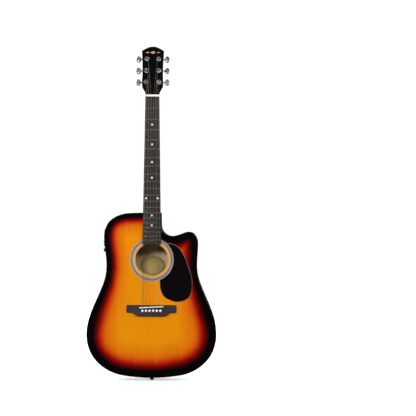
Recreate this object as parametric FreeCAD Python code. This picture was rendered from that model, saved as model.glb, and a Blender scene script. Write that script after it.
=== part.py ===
"""Cutaway acoustic-electric guitar, full size, as separate pieces.

Frame: millimetres, +Z up the neck, the soundboard faces -Y, the treble side is +X.
Origin: under the tip of the end pin, on the centre line, at the middle of the overall depth.
"""
import FreeCAD, Part
import functools
import math
import os
from FreeCAD import Vector, Rotation, Placement

# ---------------------------------------------------------------- driving dimensions
# body
BODY_LENGTH = 507.0
LOWER_BOUT = 399.0          # widest width, near the tail
WAIST = 278.0
UPPER_BOUT = 293.5
HORN_REACH = 142.0          # the treble horn's widest point from the centre line
CUTAWAY_FLOOR = 0.857 * BODY_LENGTH     # the low point of the cutaway above the tail
HORN_TOP = CUTAWAY_FLOOR + 13.5         # the tip of the horn above the tail
DEPTH_NECK = 100.0          # outside depth at the neck end and at the tail
DEPTH_TAIL = 120.0
BACK_RADIUS = 4600.0        # dome of the back
PIN_STAND = 12.0            # how far the end pin stands below the body
TOP_THICK = 3.0
BACK_THICK = 2.8
RIB_THICK = 2.5
BINDING_THICK = 1.6
BINDING_TALL = 6.0
BINDING_ROUND = 1.2
LINING_THICK = 5.5
LINING_TALL = 13.0
# sound hole and its ring
HOLE_RADIUS = 50.0
HOLE_UNDER_BOARD = 3.4      # how far the fingerboard reaches over the hole
ROSETTE_RINGS = (6.0, 8.0, 15.0, 17.0)      # out from the hole's edge
ROSETTE_DEEP = 0.8
# scale and neck
SCALE = 643.0
BODY_FRET = 14
FRET_COUNT = 20
BOARD_PAST_FRET = 13.0
NUT_WIDTH = 43.0
BOARD_END_WIDTH = 57.5
BOARD_THICK = 6.5
BOARD_RADIUS = 350.0
FRET_WIDE, FRET_HIGH = 2.7, 1.1
FRET_TANG_WIDE, FRET_TANG_DEEP = 0.6, 1.6
DOT_FRETS = (3, 5, 7, 9, 15, 17)
DOT_DIAMETER = 6.35
DOUBLE_DOT_SPREAD = 35.6
DOT_DEEP = 1.5
SIDE_DOT_DIAMETER = 2.0
NUT_THICK = 6.0
NECK_DEEP_NUT = 14.5        # wood behind the fingerboard
NECK_DEEP_HEEL = 16.5
HEEL_CAP_THICK = 3.0
HEEL_CAP_WIDTH = 36.0
TENON_WIDTH, TENON_LONG, TENON_DEEP = 26.0, 18.0, 72.0
ROD_WIDTH, ROD_TALL, ROD_NUT, ROD_NUT_LONG = 6.0, 6.0, 5.2, 9.0
BLOCK_WIDTH, BLOCK_LONG = 74.0, 62.0
TAIL_BLOCK_WIDTH, TAIL_BLOCK_LONG = 80.0, 20.0
# headstock, measured along its own tilted face from the nut
HEAD_TILT = 13.0
HEAD_LENGTH = 155.0
HEAD_THICK = 13.5
VENEER_THICK = 1.5
HEAD_FLARE_WIDTH, HEAD_WAIST_WIDTH, HEAD_TOP_WIDTH = 64.4, 63.0, 68.4
HEAD_FLARE_AT, HEAD_WAIST_AT, HEAD_CORNER_AT = 29.0, 77.0, 141.0
POST_AT = (40.0, 77.5, 114.9)
POST_SIDE = (19.5, 19.0, 18.4)
# tuners
POST_DIAMETER = 6.0
POST_STANDS = 14.5          # above the wood face of the headstock
SLEEVE_DIAMETER = 9.8
HEX_ACROSS, HEX_TALL = 11.0, 3.0
WASHER_DIAMETER, WASHER_THICK = 15.0, 0.9
CASE_WIDE, CASE_FLOOR, CASE_EDGE = 15.0, 3.2, 2.8
WORM_AT = 6.0               # worm shaft behind the headstock
GEAR_TEETH = 14
GEAR_RADIUS, GEAR_THICK, TOOTH_DEEP = 3.5, 3.4, 0.6
WORM_RADIUS, WORM_LONG, WORM_PITCH = 1.6, 7.0, 1.4
MESH_GAP = 0.1
SHAFT_RADIUS = 1.5
BUTTON_AT = 44.0            # middle of the button from the centre line
BUTTON_WIDE, BUTTON_TALL, BUTTON_THICK = 15.0, 20.5, 7.5
# bridge
BRIDGE_WIDTH = 153.0
BRIDGE_TALL = 8.0
WING_TALL = 3.6
BRIDGE_ABOVE_SADDLE = 3.4   # top edge above the nominal scale line
WING_DEEP, BELLY_DEEP = 24.0, 33.7
BELLY_FLAT, BELLY_END = 39.0, 64.0
SADDLE_LONG, SADDLE_THICK, SADDLE_SEAT = 74.0, 3.0, 5.0
SADDLE_BASS_BACK, SADDLE_TREBLE_BACK = 4.5, 1.5
PIN_BACK = 14.0             # pin row below the nominal scale line
PIN_HEAD, PIN_SHANK, PIN_TIP, PIN_LONG = 7.5, 5.2, 4.2, 24.0
# strings: bass to treble
STRING_RADII = (0.675, 0.535, 0.405, 0.305, 0.205, 0.15)
STRING_SPREAD_SADDLE = 55.35
STRING_SPREAD_NUT = 36.0
NUT_CLEAR = 0.5             # string over the first fret, at the nut
ACTION = 2.3                # string over the twelfth fret
BALL_RADIUS = 1.95
COIL_TURNS = 1.75
COIL_AT = 9.0               # first turn above the wood face of the headstock
# pickguard, bracing and label
GUARD_THICK = 1.2
GUARD_TIP_ANGLE, GUARD_FOOT_ANGLE = 49.0, -68.5     # round the hole, from the treble side
BRACE_WIDE, BRACE_TALL = 8.0, 14.0
BRACE_CROSS_BELOW_HOLE = 26.0
BRACE_ANGLE = 47.0          # each arm of the X from the centre line
BRACE_REACH, BRACE_END = 1.12, 4.0      # arm's length by the lower bout, height at its ends
TONE_ANGLE, TONE_LONG, FINGER_LONG = 28.0, 150.0, 70.0
BACK_BRACES = ((0.187, 16.0), (0.375, 16.0), (0.594, 8.0), (0.838, 8.0))   # place, width
PLATE_THICK = 3.0
LABEL_WIDE, LABEL_LONG, LABEL_THICK = 80.0, 63.0, 0.4
LABEL_BELOW_HOLE = 23.0
# preamp in the bass side
PANEL_LONG, PANEL_WIDE, PANEL_THICK, PANEL_ROUND = 90.0, 50.0, 1.6, 4.0
PANEL_MIDDLE = 0.8166 * BODY_LENGTH     # above the tail
CASE_WALL = 1.8
CASE_INSET = 4.0
CASE_DEEP = 26.0
BOARD_BEHIND, TRACK_DEEP = 6.0, 5.0     # room behind the board, and a slider's track on it
BATTERY = (48.5, 26.5, 17.5)
KNOB_DIAMETER, KNOB_TALL, KNOB_SHAFT, KNOB_GROOVES = 10.0, 4.0, 4.0, 18
SLIDER_TRAVEL = 7.0
SWITCH_DIAMETER, SWITCH_TALL = 6.0, 2.2
# end pin with its jack
JACK_BORE = 6.4
PIN_FLANGE, PIN_WAIST, PIN_THREAD = 14.0, 9.6, 11.6
JACK_LONG = 60.0
LEAD_RADIUS = 1.25
# clearances
FIT = 0.05                  # a shaft in its hole, on the radius
SEAT = 0.03                 # a string in its slot, on the radius
GAP = 0.3                   # between a moving piece and what is fixed beside it

# ---------------------------------------------------------------- worked-out places
Z_TAIL = PIN_STAND
Z_TOP = Z_TAIL + BODY_LENGTH


def fret_distance(number):
    """Distance of a fret from the nut."""
    return SCALE * (1 - 2 ** (-number / 12))


Z_NUT = Z_TOP + fret_distance(BODY_FRET)
Z_SADDLE = Z_NUT - SCALE
Z_BOARD_END = Z_NUT - fret_distance(FRET_COUNT) - BOARD_PAST_FRET
Z_HOLE = Z_BOARD_END + HOLE_UNDER_BOARD - HOLE_RADIUS
Z_PINS = Z_SADDLE - PIN_BACK
ROSETTE_LINES = [HOLE_RADIUS + out for out in ROSETTE_RINGS]
Z_CROSS = Z_HOLE - HOLE_RADIUS - BRACE_CROSS_BELOW_HOLE     # middle of the X brace

OVER_BOARD_NUT = FRET_HIGH + NUT_CLEAR
OVER_BOARD_SADDLE = 2 * (FRET_HIGH + ACTION) - OVER_BOARD_NUT
CROWN = BOARD_THICK + OVER_BOARD_SADDLE     # saddle crown above the soundboard

HALF_CHORD = math.hypot(BODY_LENGTH, DEPTH_TAIL - DEPTH_NECK) / 2
DOME_BACK = math.sqrt(BACK_RADIUS ** 2 - HALF_CHORD ** 2)
LEAN = math.atan2(DEPTH_TAIL - DEPTH_NECK, BODY_LENGTH)
DEEPEST = (DEPTH_NECK + DEPTH_TAIL) / 2 - DOME_BACK * math.cos(LEAN) + BACK_RADIUS
FRONT_REACH = CROWN + 2 * STRING_RADII[2]
Y_TOP = -(DEEPEST - FRONT_REACH) / 2        # the outer face of the soundboard
DOME_CENTRE = Vector(0, Y_TOP + DEEPEST - BACK_RADIUS,
                     Z_TAIL + BODY_LENGTH / 2 - DOME_BACK * math.sin(LEAN))
Y_END_PIN = Y_TOP + DEPTH_TAIL / 2
FAR = 400.0                                 # longer than any cut needs

Z_PANEL = Z_TAIL + PANEL_MIDDLE - PANEL_LONG / 2    # lower edge of the panel
Y_PANEL = Y_TOP + DEPTH_NECK / 2 + 1
Z_CONTROLS = Z_PANEL + 22                           # knob, window and switch
Z_SLIDERS = (Z_PANEL + 37.5, Z_PANEL + 46.5)
Z_DOOR, DOOR_LONG, DOOR_WIDE = Z_PANEL + 57, 26.0, 35.0
Z_BATTERY = Z_DOOR + DOOR_LONG / 2
Y_KNOB, Y_WINDOW, Y_SWITCH = Y_PANEL - 12, Y_PANEL + 3, Y_PANEL + 14
WINDOW_SIZE = 10.0
HINGE_RADIUS, HINGE_PIN = 1.5, 0.8

WORM_ABOVE = GEAR_RADIUS + WORM_RADIUS + MESH_GAP       # worm shaft above the post
GEAR_ROOM = WORM_AT + GEAR_THICK / 2 + GAP
CASE_TALL = GEAR_ROOM + CASE_FLOOR
CASE_BELOW = GEAR_RADIUS + GAP + CASE_EDGE
CASE_ABOVE = WORM_ABOVE + WORM_RADIUS + GAP + CASE_EDGE


def spread(total, index, count=6):
    """Place of one string in an evenly spaced row about the centre line."""
    return total * (index / (count - 1) - 0.5)


def board_drop(x):
    """How much lower the round of the fingerboard is away from its middle."""
    return BOARD_RADIUS - math.sqrt(BOARD_RADIUS ** 2 - x * x)


def board_half_width(z):
    """Half of the tapered fingerboard's width at a height."""
    share = (Z_NUT - z) / (Z_NUT - Z_BOARD_END)
    return (NUT_WIDTH + (BOARD_END_WIDTH - NUT_WIDTH) * share) / 2


# ---------------------------------------------------------------- shape helpers
def arc_from(start, tangent, end):
    """The arc that leaves start along tangent and reaches end; a line if they agree."""
    chord = end - start
    across = chord - tangent * chord.dot(tangent)
    if across.Length < 1e-6:
        return Part.LineSegment(start, end).toShape()
    normal = across.normalize()
    radius = chord.Length ** 2 / (2 * chord.dot(normal))
    centre = start + normal * radius
    middle = (start + end) * 0.5 - centre
    if middle.Length < 1e-9:
        middle = tangent * 1.0
    if chord.dot(tangent) < 0:
        middle = middle * -1
    middle = centre + middle.normalize() * radius
    return Part.Arc(start, middle, end).toShape()


def flat_direction(angle):
    """A direction in the XZ plane, counted from +X towards +Z."""
    return Vector(math.cos(math.radians(angle)), 0, math.sin(math.radians(angle)))


def biarc(first, second):
    """Two arcs that join two stations (x, z, heading) and keep both headings."""
    p, q = Vector(first[0], 0, first[1]), Vector(second[0], 0, second[1])
    t, u = flat_direction(first[2]), flat_direction(second[2])
    v, both = q - p, t + u
    k = 1 - t.dot(u)
    if k < 1e-9:
        reach = v.dot(v) / (4 * v.dot(t))
    else:
        reach = (math.sqrt(v.dot(both) ** 2 + 2 * k * v.dot(v)) - v.dot(both)) / (2 * k)
    middle = (p + q + (t - u) * reach) * 0.5
    return [arc_from(p, t, middle), arc_from(q, u * -1, middle)]


def curve(stations):
    """Biarcs through a row of stations."""
    edges = []
    for first, second in zip(stations, stations[1:]):
        edges += biarc(first, second)
    return edges


def closed(edges):
    return Part.Wire(Part.__sortEdges__(edges))


def slab(wire, y0, y1):
    """A flat wire in the plane y = 0 made a plate from y0 to y1."""
    face = Part.Face(wire)
    face.translate(Vector(0, y0, 0))
    return face.extrude(Vector(0, y1 - y0, 0))


def box(x0, x1, y0, y1, z0, z1):
    return Part.makeBox(x1 - x0, y1 - y0, z1 - z0, Vector(x0, y0, z0))


def rod(radius, start, end):
    """A cylinder from one point to another."""
    along = end - start
    return Part.makeCylinder(radius, along.Length, start, along)


def cone(radius0, radius1, start, end):
    along = end - start
    return Part.makeCone(radius0, radius1, along.Length, start, along)


def polygon(points):
    """A closed wire through points given as vectors."""
    return Part.makePolygon(list(points) + [points[0]])


def rounded_bar_x(x0, x1, y0, y1, z0, z1, radius):
    """A block along X with its four long edges rounded."""
    block = box(x0, x1, y0, y1, z0, z1)
    long_edges = [e for e in block.Edges if abs(e.tangentAt(e.FirstParameter).x) > 0.9]
    return block.makeFillet(radius, long_edges)


def turned(profile, start, axis):
    """A solid of revolution: (radius, distance along the axis) pairs about an axis."""
    points = [Vector(r, 0, h) for r, h in profile]
    solid = Part.Face(polygon(points)).revolve(Vector(), Vector(0, 0, 1), 360)
    solid.Placement = Placement(start, Rotation(Vector(0, 0, 1), axis))
    return solid


def run(points, bends):
    """Straight runs through points, joined by tangent arcs.

    bends gives each corner's radius, or None for the largest that its two runs allow.
    """
    edges, at = [], points[0]
    for before, corner, after, bend in zip(points, points[1:], points[2:], bends):
        into = (corner - before).normalize()
        out = (after - corner).normalize()
        half = into.getAngle(out) / 2
        shorter = min((corner - before).Length, (after - corner).Length)
        bend = bend or 0.45 * shorter / math.tan(half)
        trim = bend * math.tan(half)
        start, end = corner - into * trim, corner + out * trim
        edges += [Part.LineSegment(at, start).toShape(), arc_from(start, into, end)]
        at = end
    edges.append(Part.LineSegment(at, points[-1]).toShape())
    return edges


def swept(edges, radius):
    """A round section carried along a smooth chain of lines and arcs."""
    first = edges[0]
    start = first.valueAt(first.FirstParameter)
    along = first.tangentAt(first.FirstParameter)
    ring = Part.Wire(Part.Circle(start, along, radius).toShape())
    return Part.Wire(edges).makePipeShell([ring], True, False)


def joined(shapes):
    first, rest = shapes[0], shapes[1:]
    return first.fuse(rest).removeSplitter() if rest else first


def less(shape, tools):
    return shape.cut(Part.makeCompound(tools))


def on_head(shape):
    """Put a piece drawn on an upright headstock onto the real, tilted one."""
    moved = shape.copy()
    moved.Placement = HEAD_PLACE.multiply(moved.Placement)
    return moved


HEAD_PLACE = Placement(Vector(0, Y_TOP, Z_NUT + NUT_THICK),
                       Rotation(Vector(1, 0, 0), -HEAD_TILT))


def head_point(x, y, z):
    return HEAD_PLACE.multVec(Vector(x, y, z))


# ---------------------------------------------------------------- the body
def body_outline(offset=0.0):
    """The body's outline in the plane y = 0; a negative offset is a smaller one."""
    wide, waist, upper = LOWER_BOUT / 2, WAIST / 2, UPPER_BOUT / 2
    long, side = BODY_LENGTH, waist + 0.53 * (wide - waist)
    lower = [(0, 0, 180), (-0.8306 * wide, 0.093 * long, 134.7), (-wide, 0.2603 * long, 90),
             (-side, 0.4658 * long, 65.5), (-waist, 0.675 * long, 90)]
    shoulder = [(-waist, 0.675 * long, 90), (-upper, 0.857 * long, 90),
                (-0.777 * upper, 0.9735 * long, 29), (-board_half_width(Z_TOP), long, 0)]
    treble = [(x, z, -heading) for x, z, heading in
              [(-x, z, heading) for x, z, heading in lower][::-1]]
    neck_side = board_half_width(Z_TOP) + 0.6
    horn = [(neck_side, long, -89), (neck_side + 0.6, 0.924 * long, -88),
            (0.44 * HORN_REACH, CUTAWAY_FLOOR, 0), (0.62 * HORN_REACH, HORN_TOP - 7.0, 19),
            (0.8 * HORN_REACH, HORN_TOP, 0), (HORN_REACH, 0.813 * long, -90),
            (waist, 0.675 * long, -90)]
    edges = curve(lower) + curve(shoulder) + curve(horn) + curve(treble)
    edges.append(Part.LineSegment(Vector(shoulder[-1][0], 0, long),
                                  Vector(horn[0][0], 0, long)).toShape())
    wire = closed(edges)
    wire.translate(Vector(0, 0, Z_TAIL))
    return wire.makeOffset2D(offset) if offset else wire


def inside_height(wire_offset, y0, y1):
    """A plate of the body's outline, smaller by wire_offset."""
    return slab(body_outline(-wire_offset), y0, y1)


def dome(inset):
    """The ball whose surface is the back, or a surface inset in front of it."""
    return Part.makeSphere(BACK_RADIUS - inset, DOME_CENTRE)


def hull(wire_offset, y0, back_inset):
    """The body's outline from y0 back to the dome, or to a surface in front of it."""
    return inside_height(wire_offset, y0, Y_TOP + DEEPEST + 5).common(dome(back_inset))


def front_binding():
    ring = inside_height(0, Y_TOP, Y_TOP + BINDING_TALL)
    edges = [e for e in ring.Edges
             if abs(e.BoundBox.YMin - Y_TOP) < 1e-6 and abs(e.BoundBox.YMax - Y_TOP) < 1e-6]
    rounded = ring.makeFillet(BINDING_ROUND, edges)
    inner = inside_height(BINDING_THICK, Y_TOP - 1, Y_TOP + BINDING_TALL + 1)
    return less(rounded, [inner, tenon(FIT)])


def back_binding():
    ring = hull(0, Y_TOP + BINDING_TALL * 2, 0).cut(dome(BINDING_TALL))
    return ring.cut(inside_height(BINDING_THICK, Y_TOP, FAR))


def binding_space():
    """What both binding rings take out of the edges of the box."""
    front = inside_height(-1, Y_TOP - 1, Y_TOP + BINDING_TALL)
    back = inside_height(-1, Y_TOP + BINDING_TALL * 2, FAR).cut(dome(BINDING_TALL))
    return front.fuse(back).cut(inside_height(BINDING_THICK, Y_TOP - 2, FAR))


def pin_hole(index, radius, y0, y1):
    x = spread(STRING_SPREAD_SADDLE, index)
    return rod(radius, Vector(x, y0, Z_PINS), Vector(x, y1, Z_PINS))


def pin_holes():
    return [pin_hole(i, PIN_SHANK / 2 + FIT, Y_TOP - BRIDGE_TALL - 1, Y_TOP + 20)
            for i in range(6)]


def hole_disc(radius, y0, y1):
    return rod(radius, Vector(0, y0, Z_HOLE), Vector(0, y1, Z_HOLE))


def rosette():
    rings = []
    for inner, outer in zip(ROSETTE_LINES, ROSETTE_LINES[1:]):
        disc = hole_disc(outer, Y_TOP, Y_TOP + ROSETTE_DEEP)
        rings.append(disc.cut(hole_disc(inner, Y_TOP - 1, Y_TOP + ROSETTE_DEEP + 1)))
    return Part.makeCompound(rings)


def soundboard():
    plate = inside_height(BINDING_THICK, Y_TOP, Y_TOP + TOP_THICK)
    tools = [hole_disc(HOLE_RADIUS, Y_TOP - 1, Y_TOP + TOP_THICK + 1), rosette()]
    return less(plate, tools + pin_holes() + [pickup_lead_hole()])


def pickup_lead_place():
    """Where the under-saddle pickup's lead drops through, near the bass end."""
    x = -SADDLE_LONG / 2 + 4
    return x, saddle_z(x)


def pickup_lead_hole():
    x, z = pickup_lead_place()
    return rod(LEAD_RADIUS + FIT, Vector(x, Y_TOP - BRIDGE_TALL + SADDLE_SEAT, z),
               Vector(x, Y_TOP + 12, z))


def back_plate():
    return hull(BINDING_THICK, Y_TOP + 20, 0).cut(dome(BACK_THICK))


def ribs():
    shell = hull(0, Y_TOP + TOP_THICK, BACK_THICK)
    inner = inside_height(RIB_THICK, Y_TOP, FAR)
    return less(shell, [inner, binding_space(), tenon(FIT), panel_cut_out(), end_pin_bore()])


def lining_ring():
    ring = inside_height(RIB_THICK, Y_TOP, FAR)
    return ring.cut(inside_height(RIB_THICK + LINING_THICK, Y_TOP - 1, FAR + 1))


def front_lining():
    band = lining_ring().common(box(-FAR, FAR, Y_TOP + TOP_THICK, Y_TOP + TOP_THICK + LINING_TALL,
                                    0, FAR * 2))
    return less(band, [block_space(), tail_block_space()])


def back_lining():
    band = lining_ring().common(dome(BACK_THICK)).cut(dome(BACK_THICK + LINING_TALL))
    return less(band, [block_space(), tail_block_space()])


def block_space():
    half = BLOCK_WIDTH / 2
    return box(-half, half, Y_TOP, FAR, Z_TOP - BLOCK_LONG, Z_TOP)


def tail_block_space():
    half = TAIL_BLOCK_WIDTH / 2
    return box(-half, half, Y_TOP, FAR, Z_TAIL, Z_TAIL + RIB_THICK + TAIL_BLOCK_LONG)


def rod_wrench_hole():
    y = Y_TOP + TOP_THICK + GAP + ROD_TALL / 2
    return rod(ROD_NUT / 2 + GAP, Vector(0, y, Z_TOP - BLOCK_LONG - 1),
               Vector(0, y, Z_TOP - TENON_LONG))


def neck_block():
    block = hull(RIB_THICK, Y_TOP + TOP_THICK, BACK_THICK).common(block_space())
    return less(block, [tenon(FIT), rod_wrench_hole()])


def tail_block():
    block = hull(RIB_THICK, Y_TOP + TOP_THICK, BACK_THICK).common(tail_block_space())
    return block.cut(end_pin_bore())


# ---------------------------------------------------------------- bracing
def brace_bar(x, z, angle, long, wide, tall, end_tall):
    """A tapered bar glued behind the soundboard, centred at x, z."""
    y = Y_TOP + TOP_THICK
    half = long / 2
    side = [Vector(-half, 0, -wide / 2), Vector(half, 0, -wide / 2),
            Vector(half, end_tall, -wide / 2), Vector(half * 0.55, tall, -wide / 2),
            Vector(-half * 0.55, tall, -wide / 2), Vector(-half, end_tall, -wide / 2)]
    bar = Part.Face(polygon(side)).extrude(Vector(0, 0, wide))
    bar.Placement = Placement(Vector(x, y, z), Rotation(Vector(0, 1, 0), -angle))
    return bar


def brace_room():
    """Everything inside the linings."""
    return hull(RIB_THICK + LINING_THICK + GAP, Y_TOP + TOP_THICK, BACK_THICK)


def x_brace():
    bars = []
    for side in (-1, 1):
        bar = brace_bar(0, Z_CROSS, 90 - side * BRACE_ANGLE, 2 * BODY_LENGTH, BRACE_WIDE,
                        BRACE_TALL, BRACE_TALL)
        reach = brace_bar(0, Z_CROSS, 90 - side * BRACE_ANGLE, BRACE_REACH * LOWER_BOUT,
                          BRACE_WIDE, BRACE_TALL, BRACE_END)
        bars.append(bar.common(brace_room()).common(reach))
    middle = Y_TOP + TOP_THICK + BRACE_TALL / 2
    lap = BRACE_WIDE * 2
    other = brace_bar(0, Z_CROSS, 90 - BRACE_ANGLE, lap * 4, BRACE_WIDE, BRACE_TALL, BRACE_TALL)
    bars[0] = bars[0].cut(box(-lap, lap, middle, FAR, Z_CROSS - lap, Z_CROSS + lap)
                          .common(other))
    bars[1] = bars[1].cut(bars[0])
    return Part.makeCompound(bars)


def top_braces():
    """The transverse brace, two tone bars, and short bars at the sides and the hole."""
    bars = [brace_bar(0, Z_HOLE + HOLE_RADIUS + 24, 0, UPPER_BOUT, 14, 16, 8),
            brace_bar(-18, Z_CROSS - 128, TONE_ANGLE, TONE_LONG, 7, 10, 3),
            brace_bar(-8, Z_CROSS - 178, TONE_ANGLE, TONE_LONG, 7, 10, 3)]
    for side in (-1, 1):
        bars.append(brace_bar(side * 118, Z_CROSS - 62, -side * 32, FINGER_LONG, 6, 7, 2.5))
        bars.append(brace_bar(side * (HOLE_RADIUS + 14), Z_HOLE + 4, 90 - side * 10,
                              FINGER_LONG, 6, 6, 2.5))
    room = brace_room()
    keep_off = [x_brace(), bridge_plate(), block_space()]
    return Part.makeCompound([less(bar.common(room), keep_off) for bar in bars])


def back_braces():
    """Bars across the back: glued to its dome, with a straight inner edge."""
    bars = []
    for share, wide in BACK_BRACES:
        z = Z_TAIL + share * BODY_LENGTH
        inner = BACK_RADIUS - BACK_THICK
        y = DOME_CENTRE.y + math.sqrt(inner ** 2 - (z - DOME_CENTRE.z) ** 2) - BRACE_TALL
        bars.append(brace_room().common(box(-FAR, FAR, y, FAR, z - wide / 2, z + wide / 2)))
    return Part.makeCompound(bars)


def bridge_plate():
    """The plate behind the bridge, whose ends follow the arms of the X."""
    y = Y_TOP + TOP_THICK
    low, high = Z_PINS - 14, Z_SADDLE + 8
    angle = math.radians(BRACE_ANGLE)
    ends = [(Z_CROSS - z) * math.tan(angle) - BRACE_WIDE / 2 / math.cos(angle) - GAP
            for z in (low, high)]
    corners = [Vector(-ends[0], y, low), Vector(ends[0], y, low), Vector(ends[1], y, high),
               Vector(-ends[1], y, high)]
    plate = Part.Face(polygon(corners)).extrude(Vector(0, PLATE_THICK, 0))
    return less(plate, pin_holes() + [pickup_lead_hole()] + string_room())


def label():
    patch = Part.Ellipse(Vector(), LABEL_WIDE / 2, LABEL_LONG / 2).toShape()
    patch.Placement = Placement(Vector(0, 0, Z_HOLE - LABEL_BELOW_HOLE), Rotation(Vector(1, 0, 0), 90))
    column = slab(Part.Wire(patch), 0, FAR)
    return column.common(dome(BACK_THICK)).cut(dome(BACK_THICK + LABEL_THICK))


# ---------------------------------------------------------------- pickguard and bridge
def pickguard():
    """A teardrop that follows the rosette and ends just above the bridge."""
    around = ROSETTE_LINES[-1]
    reach = Z_HOLE - Z_SADDLE - BRIDGE_ABOVE_SADDLE
    tip = flat_direction(GUARD_TIP_ANGLE) * around
    foot = flat_direction(GUARD_FOOT_ANGLE) * around
    beside = [(x * around, z * around, heading) for x, z, heading in
              [(1.067, 0.664, -24), (1.373, 0.381, -58)]]
    below = [(x, z * reach, heading) for x, z, heading in
             [(119, -0.287, -71), (125, -0.53, -90), (120, -0.771, -113), (104, -0.889, -152),
              (79, -0.932, 180), (46, -0.857, 152), (31, -0.731, 115)]]
    edges = curve([(tip.x, tip.z, 2)] + beside + below + [(foot.x, foot.z, 90)])
    edges.append(Part.Arc(foot, Vector(around, 0, 0), tip).toShape())
    wire = closed(edges)
    wire.translate(Vector(0, 0, Z_HOLE))
    plate = slab(wire, Y_TOP - GUARD_THICK, Y_TOP)
    rim = [e for e in plate.Edges if abs(e.BoundBox.YMax - Y_TOP + GUARD_THICK) < 1e-6]
    return plate.makeChamfer(GUARD_THICK * 0.6, rim)


def bridge_outline():
    half = BRIDGE_WIDTH / 2
    top = Z_SADDLE + BRIDGE_ABOVE_SADDLE
    wing, belly = top - WING_DEEP, top - BELLY_DEEP
    corner = 3.0
    right = [(0, belly, 0), (BELLY_FLAT, belly, 0), (BELLY_END, wing, 0),
             (half - corner, wing, 0), (half, wing + corner, 90), (half, top - corner, 90),
             (half - corner, top, 180), (0, top, 180)]
    left = [(-x, z, -heading) for x, z, heading in right][::-1]
    edges = []
    for first, second in zip(right, right[1:]):
        edges += station_edges(first, second)
    for first, second in zip(left, left[1:]):
        edges += station_edges(first, second)
    return closed(edges)


def station_edges(first, second):
    """A straight line where two stations lie along their own heading, else a biarc."""
    p, q = Vector(first[0], 0, first[1]), Vector(second[0], 0, second[1])
    if (q - p).cross(flat_direction(first[2])).Length < 1e-6:
        return [Part.LineSegment(p, q).toShape()]
    return biarc(first, second)


def bridge_side():
    """The bridge's thickness along its width, as a plate standing across it."""
    half, y, low = BRIDGE_WIDTH / 2 + 1, Y_TOP, Z_SADDLE - 60
    high_end, wing_end = BELLY_FLAT + 6, BELLY_END + 8
    edges = [Part.LineSegment(Vector(-half, y, low), Vector(half, y, low)).toShape()]
    for side in (1, -1):
        outer, inner = side * half, side * high_end
        bend = Vector(side * wing_end, y - WING_TALL, low)
        crown = Vector(inner, y - BRIDGE_TALL, low)
        edges += [Part.LineSegment(Vector(outer, y, low), Vector(outer, y - WING_TALL, low)).toShape(),
                  Part.LineSegment(Vector(outer, y - WING_TALL, low), bend).toShape(),
                  arc_from(bend, Vector(-side, 0, 0), crown)]
    edges.append(Part.LineSegment(Vector(-high_end, y - BRIDGE_TALL, low),
                                  Vector(high_end, y - BRIDGE_TALL, low)).toShape())
    return Part.Face(closed(edges)).extrude(Vector(0, 0, 120))


def saddle_z(x):
    """Height of the slanted saddle's middle line above the origin."""
    share = x / STRING_SPREAD_SADDLE + 0.5
    return Z_SADDLE - SADDLE_BASS_BACK + (SADDLE_BASS_BACK - SADDLE_TREBLE_BACK) * share


def along_saddle(shape):
    """Turn a piece drawn level about the saddle's middle onto the saddle's slant."""
    slant = math.degrees(math.atan2(saddle_z(10) - saddle_z(0), 10))
    shape.Placement = Placement(Vector(0, 0, saddle_z(0)), Rotation(Vector(0, 1, 0), -slant))
    return shape


def saddle_block(inset, top, bottom):
    half = SADDLE_LONG / 2 - inset
    thick = SADDLE_THICK / 2 - inset
    return along_saddle(box(-half, half, top, bottom, -thick, thick))


def pickup_strip():
    """The flat piezo strip under the saddle."""
    bottom = Y_TOP - BRIDGE_TALL + SADDLE_SEAT
    return saddle_block(0.1, bottom - 1.2, bottom)


def saddle():
    bottom = Y_TOP - BRIDGE_TALL + SADDLE_SEAT - 1.2
    block = saddle_block(0, Y_TOP - CROWN - 0.5, bottom)
    axis_y = Y_TOP - CROWN + BOARD_RADIUS
    crown = rod(BOARD_RADIUS, Vector(0, axis_y, Z_SADDLE - 40), Vector(0, axis_y, Z_SADDLE + 40))
    block = block.common(crown)
    long_top = [e for e in block.Edges if e.BoundBox.YMax < Y_TOP - BRIDGE_TALL - 1
                and e.BoundBox.XLength > SADDLE_LONG / 2]
    return less(block.makeFillet(SADDLE_THICK * 0.45, long_top), string_room())


def bridge():
    body = slab(bridge_outline(), Y_TOP - BRIDGE_TALL - 1, Y_TOP).common(bridge_side())
    slot = saddle_block(0, Y_TOP - BRIDGE_TALL - 1, Y_TOP - BRIDGE_TALL + SADDLE_SEAT)
    return less(body, [slot, pickup_lead_hole()] + pin_holes() + string_room())


def bridge_pins():
    pins = []
    for i in range(6):
        x = spread(STRING_SPREAD_SADDLE, i)
        seat = Vector(x, Y_TOP - BRIDGE_TALL, Z_PINS)
        head, shank, tip = PIN_HEAD / 2, PIN_SHANK / 2, PIN_TIP / 2
        dome_top = Part.makeSphere(head * 1.25, Vector(x, Y_TOP - BRIDGE_TALL + 1.6, Z_PINS))
        cap = rod(head, seat, seat - Vector(0, 4, 0)).common(dome_top)
        peg = cone(shank, tip, seat, seat + Vector(0, PIN_LONG, 0))
        pins.append(less(cap.fuse(peg), string_room()))
    return Part.makeCompound(pins)


# ---------------------------------------------------------------- fingerboard and nut
def board_axis_y(over=0.0):
    return Y_TOP - BOARD_THICK - over + BOARD_RADIUS


def board_blank():
    corners = [Vector(-board_half_width(Z_BOARD_END), 0, Z_BOARD_END),
               Vector(board_half_width(Z_BOARD_END), 0, Z_BOARD_END),
               Vector(NUT_WIDTH / 2, 0, Z_NUT), Vector(-NUT_WIDTH / 2, 0, Z_NUT)]
    plate = slab(polygon(corners), Y_TOP - BOARD_THICK - 1, Y_TOP)
    y = board_axis_y()
    return plate.common(rod(BOARD_RADIUS, Vector(0, y, Z_BOARD_END - 1), Vector(0, y, Z_NUT + 1)))


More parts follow.
